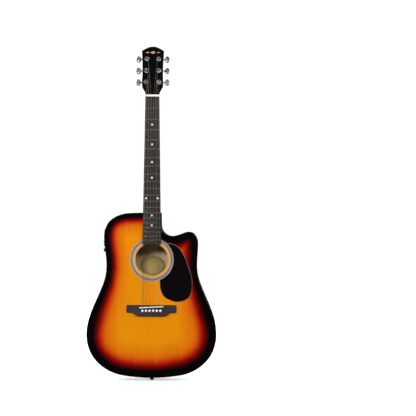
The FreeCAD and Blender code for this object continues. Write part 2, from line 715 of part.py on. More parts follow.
def fret(number):
    """One fret: a round crown with its tang, carried over the board's radius."""
    z = Z_NUT - fret_distance(number)
    top = Y_TOP - BOARD_THICK
    half, tang = FRET_WIDE / 2, FRET_TANG_WIDE / 2
    crown = Part.Arc(Vector(0, top, z - half), Vector(0, top - FRET_HIGH, z),
                     Vector(0, top, z + half)).toShape()
    points = [Vector(0, top, z + half), Vector(0, top, z + tang),
              Vector(0, top + FRET_TANG_DEEP, z + tang), Vector(0, top + FRET_TANG_DEEP, z - tang),
              Vector(0, top, z - tang), Vector(0, top, z - half)]
    edges = [crown] + [Part.LineSegment(a, b).toShape() for a, b in zip(points, points[1:])]
    reach = math.degrees(math.asin((board_half_width(z) - 0.3) / BOARD_RADIUS))
    face = Part.Face(closed(edges))
    axis = Vector(0, board_axis_y(), z)
    face.rotate(axis, Vector(0, 0, 1), -reach)
    return face.revolve(axis, Vector(0, 0, 1), 2 * reach)


def frets():
    return Part.makeCompound([fret(n) for n in range(1, FRET_COUNT + 1)])


def dot_places():
    """(x, z) of every face dot."""
    places = [(0, n) for n in DOT_FRETS] + [(side * DOUBLE_DOT_SPREAD / 2, 12) for side in (-1, 1)]
    return [(x, Z_NUT - (fret_distance(n) + fret_distance(n - 1)) / 2) for x, n in places]


def position_dots():
    blank = board_blank()
    deep = Y_TOP - BOARD_THICK + DOT_DEEP
    return Part.makeCompound([rod(DOT_DIAMETER / 2, Vector(x, Y_TOP - 20, z), Vector(x, deep, z))
                              .common(blank) for x, z in dot_places()])


def side_dots():
    """Small dots along the bass edge of the fingerboard."""
    y = Y_TOP - BOARD_THICK / 2 + 0.6
    dots = []
    for number, shift in [(n, 0) for n in DOT_FRETS] + [(12, -3), (12, 3)]:
        z = Z_NUT - (fret_distance(number) + fret_distance(number - 1)) / 2 + shift
        edge = -board_half_width(z)
        dots.append(rod(SIDE_DOT_DIAMETER / 2, Vector(edge - 5, y, z), Vector(edge + 2, y, z))
                    .common(board_blank()))
    return Part.makeCompound(dots)


def fingerboard():
    return less(board_blank(), [frets(), position_dots(), side_dots()])


def nut():
    half = NUT_WIDTH / 2
    over = OVER_BOARD_NUT + STRING_RADII[0]
    block = box(-half, half, Y_TOP - BOARD_THICK - over - 1, Y_TOP, Z_NUT, Z_NUT + NUT_THICK)
    y = board_axis_y(over)
    block = block.common(rod(BOARD_RADIUS, Vector(0, y, Z_NUT - 1), Vector(0, y, Z_NUT + 20)))
    back_top = [e for e in block.Edges if e.BoundBox.XLength > NUT_WIDTH * 0.9
                and e.BoundBox.YMax < Y_TOP - BOARD_THICK and e.BoundBox.ZMin > Z_NUT + 1]
    return less(block.makeFillet(2.0, back_top), string_room())


# ---------------------------------------------------------------- strings
def coil(index):
    """Points of one string's turns round its post, on the upright headstock."""
    bass = index < 3
    row = index if bass else 5 - index
    centre_x = POST_SIDE[row] * (-1 if bass else 1)
    centre_u = POST_AT[row]
    radius = POST_DIAMETER / 2 + GAP + STRING_RADII[index]
    nut_point = HEAD_PLACE.inverse().multVec(nut_corner(index))
    away_x, away_u = nut_point.x - centre_x, nut_point.z - centre_u
    distance = math.hypot(away_x, away_u)
    way = 1 if bass else -1
    first = math.atan2(away_u, away_x) + way * math.acos(radius / distance)
    pitch = 2 * STRING_RADII[index] + SEAT
    steps = round(COIL_TURNS * 8)
    points = []
    for step in range(steps + 1):
        angle = first + way * step * math.pi / 4
        points.append(head_point(centre_x + radius * math.cos(angle),
                                 -COIL_AT + pitch * step / 8,
                                 centre_u + radius * math.sin(angle)))
    return points


def nut_corner(index):
    x = spread(STRING_SPREAD_NUT, index)
    y = Y_TOP - BOARD_THICK - OVER_BOARD_NUT + board_drop(x) - STRING_RADII[index]
    return Vector(x, y, Z_NUT + 2)


def string_path(index):
    """From the ball under the bridge plate, over saddle and nut, round the post."""
    x, radius = spread(STRING_SPREAD_SADDLE, index), STRING_RADII[index]
    z_channel = Z_PINS + PIN_SHANK / 2 - radius
    ball_y = Y_TOP + TOP_THICK + PLATE_THICK + BALL_RADIUS + FIT
    crown_y = Y_TOP - CROWN + board_drop(x) - radius * 0.7
    turns = coil(index)
    corners = [Vector(x, ball_y, z_channel), Vector(x, Y_TOP - BRIDGE_TALL + 1.6, z_channel),
               Vector(x, crown_y, saddle_z(x)), nut_corner(index), turns[0]]
    edges = run(corners, (1.2 + radius, 4.0, 6.0))
    heading = (turns[0] - corners[-2]).normalize()
    for start, end in zip(turns, turns[1:]):
        edges.append(arc_from(start, heading, end))
        chord = (end - start).normalize()
        heading = chord * (2 * heading.dot(chord)) - heading
    return edges


def ball(index, extra=0.0):
    start = string_path(index)[0]
    return Part.makeSphere(BALL_RADIUS + extra, start.valueAt(start.FirstParameter))


@functools.cache
def string_room():
    """Slots that the strings and their ball ends need in what they pass through."""
    fat = [swept(string_path(i)[:7], STRING_RADII[i] + SEAT) for i in range(6)]
    return fat + [ball(i, SEAT) for i in range(6)]


def strings(indexes):
    return Part.makeCompound([swept(string_path(i), STRING_RADII[i]).fuse(ball(i))
                              for i in indexes])


# ---------------------------------------------------------------- neck
def round_back(width, depth, square, place):
    """A flat-topped section: square 2 is half an ellipse, more is boxier."""
    points = []
    for step in range(13):
        angle = math.pi * step / 12
        c, s = math.cos(angle), math.sin(angle)
        across = math.copysign(abs(c) ** (2 / square), c) * width / 2
        points.append(place.multVec(Vector(across, depth * abs(s) ** (2 / square), 0)))
    back = Part.BSplineCurve()
    back.interpolate(points)
    return Part.Wire([back.toShape(), Part.LineSegment(points[-1], points[0]).toShape()])


def at_height(z):
    return Placement(Vector(0, Y_TOP, z), Rotation())


def on_face(u):
    return HEAD_PLACE.multiply(Placement(Vector(0, 0, u), Rotation()))


def head_section(share):
    """The back of the headstock squaring off between the nut and the flare."""
    width = NUT_WIDTH + (HEAD_FLARE_WIDTH + 4 - NUT_WIDTH) * share ** 1.5
    square = 2.3 + 4.7 * share ** 2
    return round_back(width, NECK_DEEP_NUT + (HEAD_THICK - NECK_DEEP_NUT) * share, square,
                      on_face(HEAD_FLARE_AT * share))


def tenon(extra=0.0):
    half = TENON_WIDTH / 2 + extra
    return box(-half, half, Y_TOP + TOP_THICK, Y_TOP + TOP_THICK + TENON_DEEP + extra,
               Z_TOP - TENON_LONG - extra, Z_TOP)


def heel_section(down, width, tall):
    place = Placement(Vector(0, Y_TOP + down, Z_TOP), Rotation(Vector(1, 0, 0), 90))
    return round_back(width, tall, 2.4, place)


def heel():
    deep = DEPTH_NECK - HEEL_CAP_THICK
    top = 2 * board_half_width(Z_TOP)
    shares = ((0.0, 1.0, 62.0), (0.16, 0.93, 50.0), (0.33, 0.82, 33.0), (0.6, 0.72, 23.0),
              (1.0, HEEL_CAP_WIDTH / top, 18.0))
    sections = [heel_section(share * deep, top * wide, tall) for share, wide, tall in shares]
    return Part.makeLoft(sections, True, False)


def heel_cap():
    face = Part.Face(heel_section(DEPTH_NECK - HEEL_CAP_THICK, HEEL_CAP_WIDTH, 18.0))
    return face.extrude(Vector(0, HEEL_CAP_THICK, 0))


def head_outline():
    flare, waist, corner = HEAD_FLARE_WIDTH / 2, HEAD_WAIST_WIDTH / 2, HEAD_TOP_WIDTH / 2
    right = [(NUT_WIDTH / 2, 0, 90), (flare, HEAD_FLARE_AT, 86), (waist, HEAD_WAIST_AT, 90),
             (corner, HEAD_CORNER_AT, 86)]
    arch = [(corner, HEAD_CORNER_AT, 146), (0, HEAD_LENGTH, 180)]
    edges = []
    for part in (right, arch):
        edges += curve(part)
        edges += curve([(-x, z, -heading) for x, z, heading in part][::-1])
    edges.append(Part.LineSegment(Vector(-NUT_WIDTH / 2, 0, 0),
                                  Vector(NUT_WIDTH / 2, 0, 0)).toShape())
    return closed(edges)


def tuner_places():
    """(side, x, u) of each post, bass side from the nut, then treble side."""
    return [(side, side * x, u) for side in (-1, 1) for x, u in zip(POST_SIDE, POST_AT)]


def head_holes():
    holes = []
    for side, x, u in tuner_places():
        holes.append(rod(SLEEVE_DIAMETER / 2, Vector(x, -VENEER_THICK - 1, u),
                         Vector(x, HEAD_THICK + 1, u)))
        holes.append(screw_shank(x, u))
    return holes


def neck():
    shaft = Part.makeLoft([round_back(2 * board_half_width(Z_TOP), NECK_DEEP_HEEL, 2.2,
                                      at_height(Z_TOP)),
                           round_back(NUT_WIDTH + 0.8, NECK_DEEP_NUT, 2.2,
                                      at_height(Z_NUT - 14))], True, True)
    outline = on_head(slab(head_outline(), 0, HEAD_THICK + 6))
    start = at_height(Z_NUT - 14)
    lower = Part.makeLoft([round_back(NUT_WIDTH + 0.8, NECK_DEEP_NUT, 2.2, start),
                           round_back(NUT_WIDTH, NECK_DEEP_NUT, 2.3, on_face(0))], True, True)
    upper = [Part.makeLoft([head_section(share), head_section(share + 0.2)], True, True)
             for share in (0.0, 0.2, 0.4, 0.6, 0.8)]
    upper = joined(upper).common(outline)
    plate = on_head(slab(head_outline(), 0, HEAD_THICK)
                    .common(box(-FAR, FAR, -1, FAR, HEAD_FLARE_AT, HEAD_LENGTH + 1)))
    whole = shaft.fuse([heel(), tenon(), lower, upper, plate])
    holes = [on_head(hole) for hole in head_holes()]
    return less(whole, holes + [truss_rod()])


def truss_rod():
    half, y = ROD_WIDTH / 2, Y_TOP + TOP_THICK + GAP
    low = Z_TOP - TENON_LONG
    bar = box(-half, half, y, y + ROD_TALL, low, Z_NUT - 16)
    middle = y + ROD_TALL / 2
    return bar.fuse(rod(ROD_NUT / 2, Vector(0, middle, low - ROD_NUT_LONG),
                        Vector(0, middle, low)))


def headstock_veneer():
    plate = slab(head_outline(), -VENEER_THICK, 0)
    rim = [e for e in plate.Edges if abs(e.BoundBox.YMax + VENEER_THICK) < 1e-6
           and e.BoundBox.ZMax > 1]
    return on_head(less(plate.makeChamfer(0.5, rim), head_holes()))


# ---------------------------------------------------------------- tuners
def screw_ear(u):
    """Height of a housing's fixing screw."""
    return u - CASE_BELOW - 2.6


def screw_shank(x, u):
    return rod(1.1, Vector(x, HEAD_THICK - 8, screw_ear(u)), Vector(x, HEAD_THICK + 2.5, screw_ear(u)))


def shaft_between(side, x0, x1, u, radius):
    y = HEAD_THICK + WORM_AT
    z = u + WORM_ABOVE
    return rod(radius, Vector(side * x0, y, z), Vector(side * x1, y, z))


def tuner_housing(side, x, u):
    """The cast case behind the headstock, open towards it, with its screw ear."""
    y = HEAD_THICK
    half = CASE_WIDE / 2
    case = box(x - half, x + half, y, y + CASE_TALL, u - CASE_BELOW, u + CASE_ABOVE)
    rounded = [e for e in case.Edges if e.BoundBox.YMax > y + 1]
    case = case.makeFillet(2.4, rounded)
    ear = rod(3.0, Vector(x, y, screw_ear(u)), Vector(x, y + 2.5, screw_ear(u)))
    web = box(x - 3, x + 3, y, y + 2.5, screw_ear(u), u - CASE_BELOW + 1)
    gear_room = rod(GEAR_RADIUS + GAP, Vector(x, y - 1, u), Vector(x, y + GEAR_ROOM, u))
    worm_room = shaft_between(side, abs(x) - WORM_LONG / 2 - GAP, abs(x) + WORM_LONG / 2 + GAP,
                              u, WORM_RADIUS + GAP)
    shaft_room = shaft_between(side, abs(x), abs(x) + half + 1, u, SHAFT_RADIUS + FIT)
    return less(joined([case, ear, web]), [gear_room, worm_room, shaft_room, screw_shank(x, u)])


def tuner_bushing(x, u):
    """Threaded sleeve with its hexagon head on the front of the headstock."""
    under = -VENEER_THICK - WASHER_THICK
    corner = HEX_ACROSS / math.sqrt(3)
    points = [Vector(x + corner * math.cos(math.radians(60 * k)), under,
                     u + corner * math.sin(math.radians(60 * k))) for k in range(6)]
    head = Part.Face(polygon(points)).extrude(Vector(0, -HEX_TALL, 0))
    round_off = cone(corner - 1.2, corner + 2.4, Vector(x, under - HEX_TALL, u),
                     Vector(x, under + 0.6, u))
    sleeve = rod(SLEEVE_DIAMETER / 2, Vector(x, under, u), Vector(x, HEAD_THICK - 1, u))
    bore = rod(POST_DIAMETER / 2 + FIT, Vector(x, under - HEX_TALL - 1, u),
               Vector(x, HEAD_THICK, u))
    return head.common(round_off).fuse(sleeve).cut(bore)


def tuner_washer(x, u):
    front = -VENEER_THICK - WASHER_THICK
    disc = rod(WASHER_DIAMETER / 2, Vector(x, front, u), Vector(x, -VENEER_THICK, u))
    rim = [e for e in disc.Edges if abs(e.BoundBox.YMax - front) < 1e-6]
    return disc.makeFillet(WASHER_THICK * 0.5, rim).cut(
        rod(SLEEVE_DIAMETER / 2, Vector(x, front - 1, u), Vector(x, 1, u)))


def tuner_screw(x, u):
    y = HEAD_THICK + 2.5
    head = cone(1.9, 1.3, Vector(x, y, screw_ear(u)), Vector(x, y + 1.3, screw_ear(u)))
    slots = [box(x - 1.0, x + 1.0, y + 0.6, y + 2, screw_ear(u) - 0.22, screw_ear(u) + 0.22),
             box(x - 0.22, x + 0.22, y + 0.6, y + 2, screw_ear(u) - 1.0, screw_ear(u) + 1.0)]
    return less(head.fuse(screw_shank(x, u)), slots)


def gear(x, u):
    """A small spur wheel with its teeth cut between plain gaps."""
    y = HEAD_THICK + WORM_AT
    wheel = rod(GEAR_RADIUS, Vector(x, y - GEAR_THICK / 2, u), Vector(x, y + GEAR_THICK / 2, u))
    gaps = []
    for k in range(GEAR_TEETH):
        angle = 360 * k / GEAR_TEETH
        gap = box(GEAR_RADIUS - TOOTH_DEEP, GEAR_RADIUS + 1, -GEAR_THICK, GEAR_THICK, -0.35, 0.35)
        gap.Placement = Placement(Vector(x, y, u), Rotation(Vector(0, 1, 0), angle))
        gaps.append(gap)
    return less(wheel, gaps)


def tuner_post(side, x, u):
    """The string post with its wheel, turning in the bushing."""
    radius, top = POST_DIAMETER / 2, -POST_STANDS
    bottom = HEAD_THICK + WORM_AT + GEAR_THICK / 2
    long = bottom - top
    profile = [(0, 0), (radius - 0.7, 0), (radius, 0.7), (radius, 2.2), (radius - 0.45, 3.4),
               (radius - 0.45, 4.6), (radius, 5.4), (radius, long), (0, long)]
    shaft = turned(profile, Vector(x, top, u), Vector(0, 1, 0))
    hole = rod(0.85, Vector(x - 5, top + 2.9, u), Vector(x + 5, top + 2.9, u))
    return on_head(shaft.fuse(gear(x, u)).cut(hole))


def tuner_button(side, x, u):
    """Button, its screw, and the worm shaft that it turns."""
    y, z = HEAD_THICK + WORM_AT, u + WORM_ABOVE
    centre = side * BUTTON_AT
    near, far = BUTTON_AT - BUTTON_WIDE / 2, BUTTON_AT + BUTTON_WIDE / 2
    oval = Part.Ellipse(Vector(), BUTTON_TALL / 2, BUTTON_WIDE / 2).toShape()
    oval.Placement = Placement(Vector(centre, y - BUTTON_THICK / 2, z),
                               Rotation(Vector(0, 0, 1), Vector(1, 0, 0), Vector(0, 1, 0), "ZXY"))
    knob = Part.Face(Part.Wire(oval)).extrude(Vector(0, BUTTON_THICK, 0))
    knob = knob.makeFillet(BUTTON_THICK * 0.36, [e for e in knob.Edges if e.BoundBox.YLength < 1e-6])
    collar = shaft_between(side, near - 2.2, near + 1.5, u, 2.9)
    knob = knob.fuse(collar)
    worm = shaft_between(side, abs(x) - WORM_LONG / 2, abs(x) + WORM_LONG / 2, u, WORM_RADIUS)
    rings = []
    for k in range(int(WORM_LONG / WORM_PITCH)):
        start = abs(x) - WORM_LONG / 2 + (k + 0.35) * WORM_PITCH
        ring = shaft_between(side, start, start + WORM_PITCH * 0.5, u, WORM_RADIUS + 1)
        rings.append(ring.cut(shaft_between(side, start - 1, start + 2, u, WORM_RADIUS - 0.4)))
    shaft = less(worm, rings).fuse(shaft_between(side, abs(x), far - 2.5, u, SHAFT_RADIUS))
    screw = shaft_between(side, far - 0.9, far + 0.5, u, 2.0)
    slot = box(centre - 20, centre + 20, y - 0.25, y + 0.25, z - 3, z + 3).common(
        shaft_between(side, far, far + 1, u, 4))
    knob = less(knob, [shaft, screw])
    return on_head(Part.makeCompound([knob, shaft, screw.cut(slot)]))


# ---------------------------------------------------------------- preamp
def side_x(z):
    """Where the bass side's outer face stands at a height."""
    probe = Part.LineSegment(Vector(-FAR, 0, z), Vector(-UPPER_BOUT / 4, 0, z)).toShape()
    return body_outline().distToShape(probe)[1][0][0].x



def on_side(inner, outer, y0, y1, z0, z1, radius):
    """A plate that lies on the bass side, between two distances outside its face."""
    window = rounded_bar_x(-FAR, -UPPER_BOUT / 4, y0, y1, z0, z1, radius)
    skin = inside_height(-outer, y0, y1).cut(inside_height(-inner, y0 - 1, y1 + 1))
    return skin.common(window)


def panel_bar(inset, x1):
    half = PANEL_WIDE / 2 - inset
    return rounded_bar_x(-FAR, x1, Y_PANEL - half, Y_PANEL + half, Z_PANEL + inset,
                         Z_PANEL + PANEL_LONG - inset, PANEL_ROUND - inset * 0.5)


def panel_cut_out():
    return panel_bar(CASE_INSET, -UPPER_BOUT / 4)


def face_x(z):
    """The panel's outer face at a height."""
    return side_x(z) - PANEL_THICK


def hinge_line():
    """The battery door's hinge, just outside the panel above the door."""
    z = Z_DOOR + DOOR_LONG + HINGE_RADIUS
    return Vector(face_x(z) - HINGE_PIN, Y_PANEL, z)


def along_y(radius, centre, y0, y1):
    return rod(radius, Vector(centre.x, y0, centre.z), Vector(centre.x, y1, centre.z))


def door_shape(extra):
    half = DOOR_WIDE / 2 + extra
    return (Y_PANEL - half, Y_PANEL + half, Z_DOOR - extra, Z_DOOR + DOOR_LONG + extra)


def preamp_panel():
    half = PANEL_WIDE / 2
    plate = on_side(0, PANEL_THICK, Y_PANEL - half, Y_PANEL + half, Z_PANEL,
                    Z_PANEL + PANEL_LONG, PANEL_ROUND)
    centre = hinge_line()
    inner, outer = DOOR_WIDE / 2 - 5, DOOR_WIDE / 2
    ears = []
    for side in (-1, 1):
        y0, y1 = sorted((Y_PANEL + side * (inner + GAP), Y_PANEL + side * (outer - 1)))
        foot = box(centre.x, centre.x + PANEL_THICK + 1, y0, y1, centre.z, centre.z + HINGE_RADIUS)
        foot = foot.cut(inside_height(0, y0 - 1, y1 + 1))
        ears.append(along_y(HINGE_RADIUS, centre, y0, y1).fuse(foot))
    tools = [rounded_bar_x(-FAR, -60, *door_shape(GAP), 1.5),
             along_x(KNOB_SHAFT / 2 + FIT, Y_KNOB, Z_CONTROLS, -FAR, -60),
             along_x(SWITCH_DIAMETER / 2 + GAP, Y_SWITCH, Z_CONTROLS, -FAR, -60),
             window_bar()]
    for z in Z_SLIDERS:
        reach = SLIDER_TRAVEL + 1.5 + GAP
        tools.append(box(-FAR, -60, Y_PANEL - reach, Y_PANEL + reach, z - 1.1, z + 1.1))
    plate = less(plate, tools)
    door_room = along_y(HINGE_RADIUS + GAP, centre, Y_PANEL - inner - GAP, Y_PANEL + inner + GAP)
    pin_room = along_y(HINGE_PIN + FIT, centre, Y_PANEL - outer, Y_PANEL + outer)
    return less(joined([plate] + ears), [door_room, pin_room])


def along_x(radius, y, z, x0, x1):
    return rod(radius, Vector(x0, y, z), Vector(x1, y, z))


def window_bar():
    half = WINDOW_SIZE / 2
    return rounded_bar_x(-FAR, -60, Y_WINDOW - half, Y_WINDOW + half, Z_CONTROLS - half,
                         Z_CONTROLS + half, 1.0)


def display_window():
    return inside_height(-PANEL_THICK + 0.3, Y_PANEL - 30, Y_PANEL + 30).cut(
        inside_height(0, Y_PANEL - 31, Y_PANEL + 31)).common(window_bar())


def case_back():
    """Inner face of the shallow part of the preamp's case."""
    return side_x(Z_CONTROLS) + CASE_DEEP


def battery_bay(grow, start, end):
    half_y, half_z = BATTERY[1] / 2 + grow, BATTERY[2] / 2 + grow
    return box(start, end, Y_PANEL - half_y, Y_PANEL + half_y, Z_BATTERY - half_z,
               Z_BATTERY + half_z)


def board_x():
    """The outer face of the circuit board."""
    return case_back() - CASE_WALL - BOARD_BEHIND


def preamp_housing():
    inside = inside_height(0, Y_TOP, FAR)
    bay_end = side_x(Z_BATTERY) + BATTERY[0] + 6
    clear = FIT * 4
    outer = panel_bar(CASE_INSET + clear, case_back()).fuse(
        battery_bay(GAP + CASE_WALL, -FAR, bay_end)).common(inside)
    hollow = [panel_bar(CASE_INSET + clear + CASE_WALL, case_back() - CASE_WALL),
              battery_bay(GAP, -FAR, bay_end - CASE_WALL)]
    return less(outer, hollow)


def circuit_board():
    """The board across the case, with the volume pot standing on it."""
    x = board_x()
    inset = CASE_INSET + CASE_WALL + 1
    half = PANEL_WIDE / 2 - inset
    board = box(x, x + 1.6, Y_PANEL - half, Y_PANEL + half, Z_PANEL + inset, Z_DOOR - 3)
    pot = along_x(4.5, Y_KNOB, Z_CONTROLS, x - 7, x).cut(
        along_x(KNOB_SHAFT / 2 + FIT, Y_KNOB, Z_CONTROLS, x - 8, x - 0.6))
    switch = box(x - 4, x, Y_SWITCH - 3, Y_SWITCH + 3, Z_CONTROLS - 3, Z_CONTROLS + 3)
    tracks = [box(x - TRACK_DEEP, x, Y_PANEL - 11, Y_PANEL + 11, z - 3.5, z + 3.5) for z in Z_SLIDERS]
    return joined([board, pot, switch] + tracks)


def volume_knob():
    x = face_x(Z_CONTROLS + KNOB_DIAMETER / 2) - GAP
    radius = KNOB_DIAMETER / 2
    body = along_x(radius, Y_KNOB, Z_CONTROLS, x - KNOB_TALL, x)
    body = body.makeFillet(0.8, [e for e in body.Edges if abs(e.BoundBox.XMin - x + KNOB_TALL) < 1e-6
                                 and e.BoundBox.XLength < 1e-6])
    grooves = []
    for k in range(KNOB_GROOVES):
        angle = 2 * math.pi * k / KNOB_GROOVES
        y, z = Y_KNOB + radius * math.cos(angle), Z_CONTROLS + radius * math.sin(angle)
        grooves.append(along_x(0.45, y, z, x - KNOB_TALL - 1, x - 1.2))
    grooves.append(box(x - KNOB_TALL - 1, x - KNOB_TALL + 0.5, Y_KNOB - 0.4, Y_KNOB + 0.4,
                       Z_CONTROLS + 1.5, Z_CONTROLS + radius))
    shaft_end = board_x() - 1.6
    shaft = along_x(KNOB_SHAFT / 2, Y_KNOB, Z_CONTROLS, x - 1, shaft_end)
    return less(body.fuse(shaft), grooves)


def slider(z):
    """A tone slider: a ribbed cap on a stem through the panel."""
    x = min(face_x(z - 2.5), face_x(z + 2.5)) - GAP
    cap = box(x - 3.2, x, Y_PANEL - 3, Y_PANEL + 3, z - 2.5, z + 2.5)
    cap = cap.makeFillet(0.6, [e for e in cap.Edges if e.BoundBox.XMax < x - 1])
    notch = box(x - 4, x - 2.7, Y_PANEL - 0.4, Y_PANEL + 0.4, z - 3, z + 3)
    stem_end = board_x() - TRACK_DEEP - GAP
    stem = box(x - 1, stem_end, Y_PANEL - 1.5, Y_PANEL + 1.5, z - 0.8, z + 0.8)
    return cap.fuse(stem).cut(notch)


def tuner_switch():
    inner = side_x(Z_CONTROLS - SWITCH_DIAMETER / 2)
    outer = face_x(Z_CONTROLS) - SWITCH_TALL
    cap = along_x(SWITCH_DIAMETER / 2, Y_SWITCH, Z_CONTROLS, outer, inner + 3)
    cap = cap.makeFillet(0.7, [e for e in cap.Edges if abs(e.BoundBox.XMin - outer) < 1e-6
                               and e.BoundBox.XLength < 1e-6])
    flange = along_x(SWITCH_DIAMETER / 2 + 1, Y_SWITCH, Z_CONTROLS, inner + 1.6, inner + 3)
    return cap.fuse(flange)


def battery_door():
    plate = on_side(0, PANEL_THICK, *door_shape(0), 1.2)
    centre = hinge_line()
    inner, outer = DOOR_WIDE / 2 - 5, DOOR_WIDE / 2 - 1
    barrel = along_y(HINGE_RADIUS, centre, Y_PANEL - inner, Y_PANEL + inner)
    tab = box(centre.x - HINGE_RADIUS, centre.x, Y_PANEL - inner, Y_PANEL + inner,
              centre.z - HINGE_RADIUS - 4, centre.z)
    tab = tab.fuse(box(centre.x - HINGE_RADIUS, centre.x + PANEL_THICK, Y_PANEL - inner,
                       Y_PANEL + inner, centre.z - HINGE_RADIUS - 4,
                       centre.z - HINGE_RADIUS - GAP))
    tab = tab.cut(inside_height(0, Y_TOP, FAR))
    pin = along_y(HINGE_PIN, centre, Y_PANEL - outer, Y_PANEL + outer)
    grip = box(-FAR, face_x(Z_DOOR + 3) + 0.6, Y_PANEL - 7, Y_PANEL + 7, Z_DOOR + 2, Z_DOOR + 4)
    return joined([plate, barrel, tab, pin]).cut(grip)


def battery():
    start = side_x(Z_BATTERY) + 3
    cell = battery_bay(0, start, start + BATTERY[0] - 2.5)
    cell = cell.makeFillet(1.5, [e for e in cell.Edges if e.BoundBox.XLength > 20])
    end = start + BATTERY[0] - 2.5
    studs = [along_x(3.0, Y_PANEL + side * 6.4, Z_BATTERY, end - 1, end + 2.5) for side in (-1, 1)]
    return joined([cell] + studs)


# ---------------------------------------------------------------- end pin and wiring
def end_pin_bore():
    return rod(PIN_THREAD / 2 + FIT, Vector(0, Y_END_PIN, Z_TAIL - 2),
               Vector(0, Y_END_PIN, Z_TAIL + RIB_THICK + TAIL_BLOCK_LONG + 2))


def end_pin():
    """Strap button and output jack in one: its bore takes the plug."""
    bore, flange, waist, thread = JACK_BORE / 2, PIN_FLANGE / 2, PIN_WAIST / 2, PIN_THREAD / 2
    wall_end = Z_TAIL + RIB_THICK + TAIL_BLOCK_LONG + 6
    profile = [(bore + 0.3, 0), (flange - 0.8, 0), (flange, 0.8), (flange, 2.2), (waist, 4.2),
               (waist, PIN_STAND - 3.6), (flange - 0.6, PIN_STAND - 1.2),
               (flange - 0.6, PIN_STAND - FIT), (thread, PIN_STAND - FIT), (thread, wall_end),
               (thread - 1, wall_end), (thread - 1, JACK_LONG), (0, JACK_LONG),
               (0, wall_end - 4), (bore, wall_end - 4), (bore, 0.3)]
    return turned(profile, Vector(0, Y_END_PIN, 0), Vector(0, 0, 1))


def end_pin_nut():
    """Washer and hexagon nut that clamp the end pin inside the tail block."""
    z = Z_TAIL + RIB_THICK + TAIL_BLOCK_LONG
    bore = rod(PIN_THREAD / 2, Vector(0, Y_END_PIN, z - 1), Vector(0, Y_END_PIN, z + 9))
    washer = rod(10.0, Vector(0, Y_END_PIN, z), Vector(0, Y_END_PIN, z + 1)).cut(bore)
    points = [Vector(9.2 * math.cos(math.radians(60 * k)),
                     Y_END_PIN + 9.2 * math.sin(math.radians(60 * k)), z + 1) for k in range(6)]
    hexagon = Part.Face(polygon(points)).extrude(Vector(0, 0, 4)).cut(bore)
    return Part.makeCompound([washer, hexagon])


def wiring():
    """Output lead from the preamp to the end pin, and the pickup's lead up to the preamp."""
    case_x, case_z = case_back() - 8, Z_PANEL + CASE_INSET + 0.2
    y, mid = Y_PANEL, (Y_PANEL + Y_END_PIN) / 2
    output = [Vector(case_x, y, case_z), Vector(case_x, y, case_z - 34),
              Vector(case_x - 6, y + 4, case_z - 84), Vector(case_x - 14, mid, case_z - 136),
              Vector(case_x - 12, mid + 2, case_z - 188), Vector(-104, mid + 3, 146),
              Vector(-72, Y_END_PIN, 116), Vector(-34, Y_END_PIN, 104),
              Vector(0, Y_END_PIN, 94), Vector(0, Y_END_PIN, JACK_LONG)]
    x, z = pickup_lead_place()
    pickup = [Vector(x, Y_TOP - BRIDGE_TALL + SADDLE_SEAT, z), Vector(x, Y_TOP + 22, z),
              Vector(x - 18, Y_TOP + 36, z + 14), Vector(x - 48, Y_TOP + 40, z + 52),
              Vector(x - 70, Y_TOP + 43, z + 98), Vector(case_x + 2, y - 8, case_z - 22),
              Vector(case_x + 2, y - 8, case_z)]
    leads = []
    for route in (output, pickup):
        leads.append(swept(run(route, [None] * (len(route) - 2)), LEAD_RADIUS))
    return Part.makeCompound(leads)


# ---------------------------------------------------------------- write every piece
def pieces():
    """Every node's name and the function that draws it."""
    made = {
        "soundboard": soundboard, "back_plate": back_plate, "ribs": ribs,
        "front_binding": front_binding, "back_binding": back_binding,
        "front_lining": front_lining, "back_lining": back_lining,
        "neck_block": neck_block, "tail_block": tail_block, "x_brace": x_brace,
        "top_braces": top_braces, "back_braces": back_braces, "bridge_plate": bridge_plate,
        "label": label, "rosette": rosette, "pickguard": pickguard, "bridge": bridge,
        "saddle": saddle, "pickup_strip": pickup_strip, "bridge_pins": bridge_pins,
        "neck": neck, "heel_cap": heel_cap, "truss_rod": truss_rod,
        "headstock_veneer": headstock_veneer, "fingerboard": fingerboard, "frets": frets,
        "position_dots": position_dots, "side_dots": side_dots, "nut": nut,
        "wound_strings": lambda: strings(range(0, 4)), "plain_strings": lambda: strings((4, 5)),
        "preamp_housing": preamp_housing, "preamp_panel": preamp_panel,
        "display_window": display_window, "circuit_board": circuit_board,
        "volume_knob": volume_knob, "bass_slider": lambda: slider(Z_SLIDERS[0]),
        "treble_slider": lambda: slider(Z_SLIDERS[1]), "tuner_switch": tuner_switch,
        "battery_door": battery_door, "battery": battery, "end_pin": end_pin,
        "end_pin_nut": end_pin_nut, "wiring": wiring,
    }
    places = tuner_places()
    made["tuner_housings"] = lambda: on_head(Part.makeCompound(
        [tuner_housing(*place) for place in places]))
    made["tuner_bushings"] = lambda: on_head(Part.makeCompound(
        [tuner_bushing(x, u) for side, x, u in places]))
    made["tuner_washers"] = lambda: on_head(Part.makeCompound(
        [tuner_washer(x, u) for side, x, u in places]))
    made["tuner_screws"] = lambda: on_head(Part.makeCompound(
        [tuner_screw(x, u) for side, x, u in places]))
    for number, place in enumerate(places, 1):
        made[f"tuner_post_{number}"] = functools.partial(tuner_post, *place)
        made[f"tuner_button_{number}"] = functools.partial(tuner_button, *place)
    return made


def main():
    os.makedirs("parts", exist_ok=True)
    for name, draw in pieces().items():
        shape = draw()
        shape.exportStep(f"parts/{name}.step")
        if not shape.isValid() or not shape.Solids:
            print("not a valid solid:", name)
    print("hinge of the battery door:", hinge_line())
    print("end pin jack: y", round(Y_END_PIN, 3), "top", round(Y_TOP, 3))


if __name__ == "__main__":
    main()
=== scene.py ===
"""Looks for a cutaway acoustic-electric guitar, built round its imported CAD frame."""
import bpy
import functools
import math
from bpy.props import FloatProperty, FloatVectorProperty, PointerProperty
from mathutils import Matrix, Vector
from mathutils.kdtree import KDTree


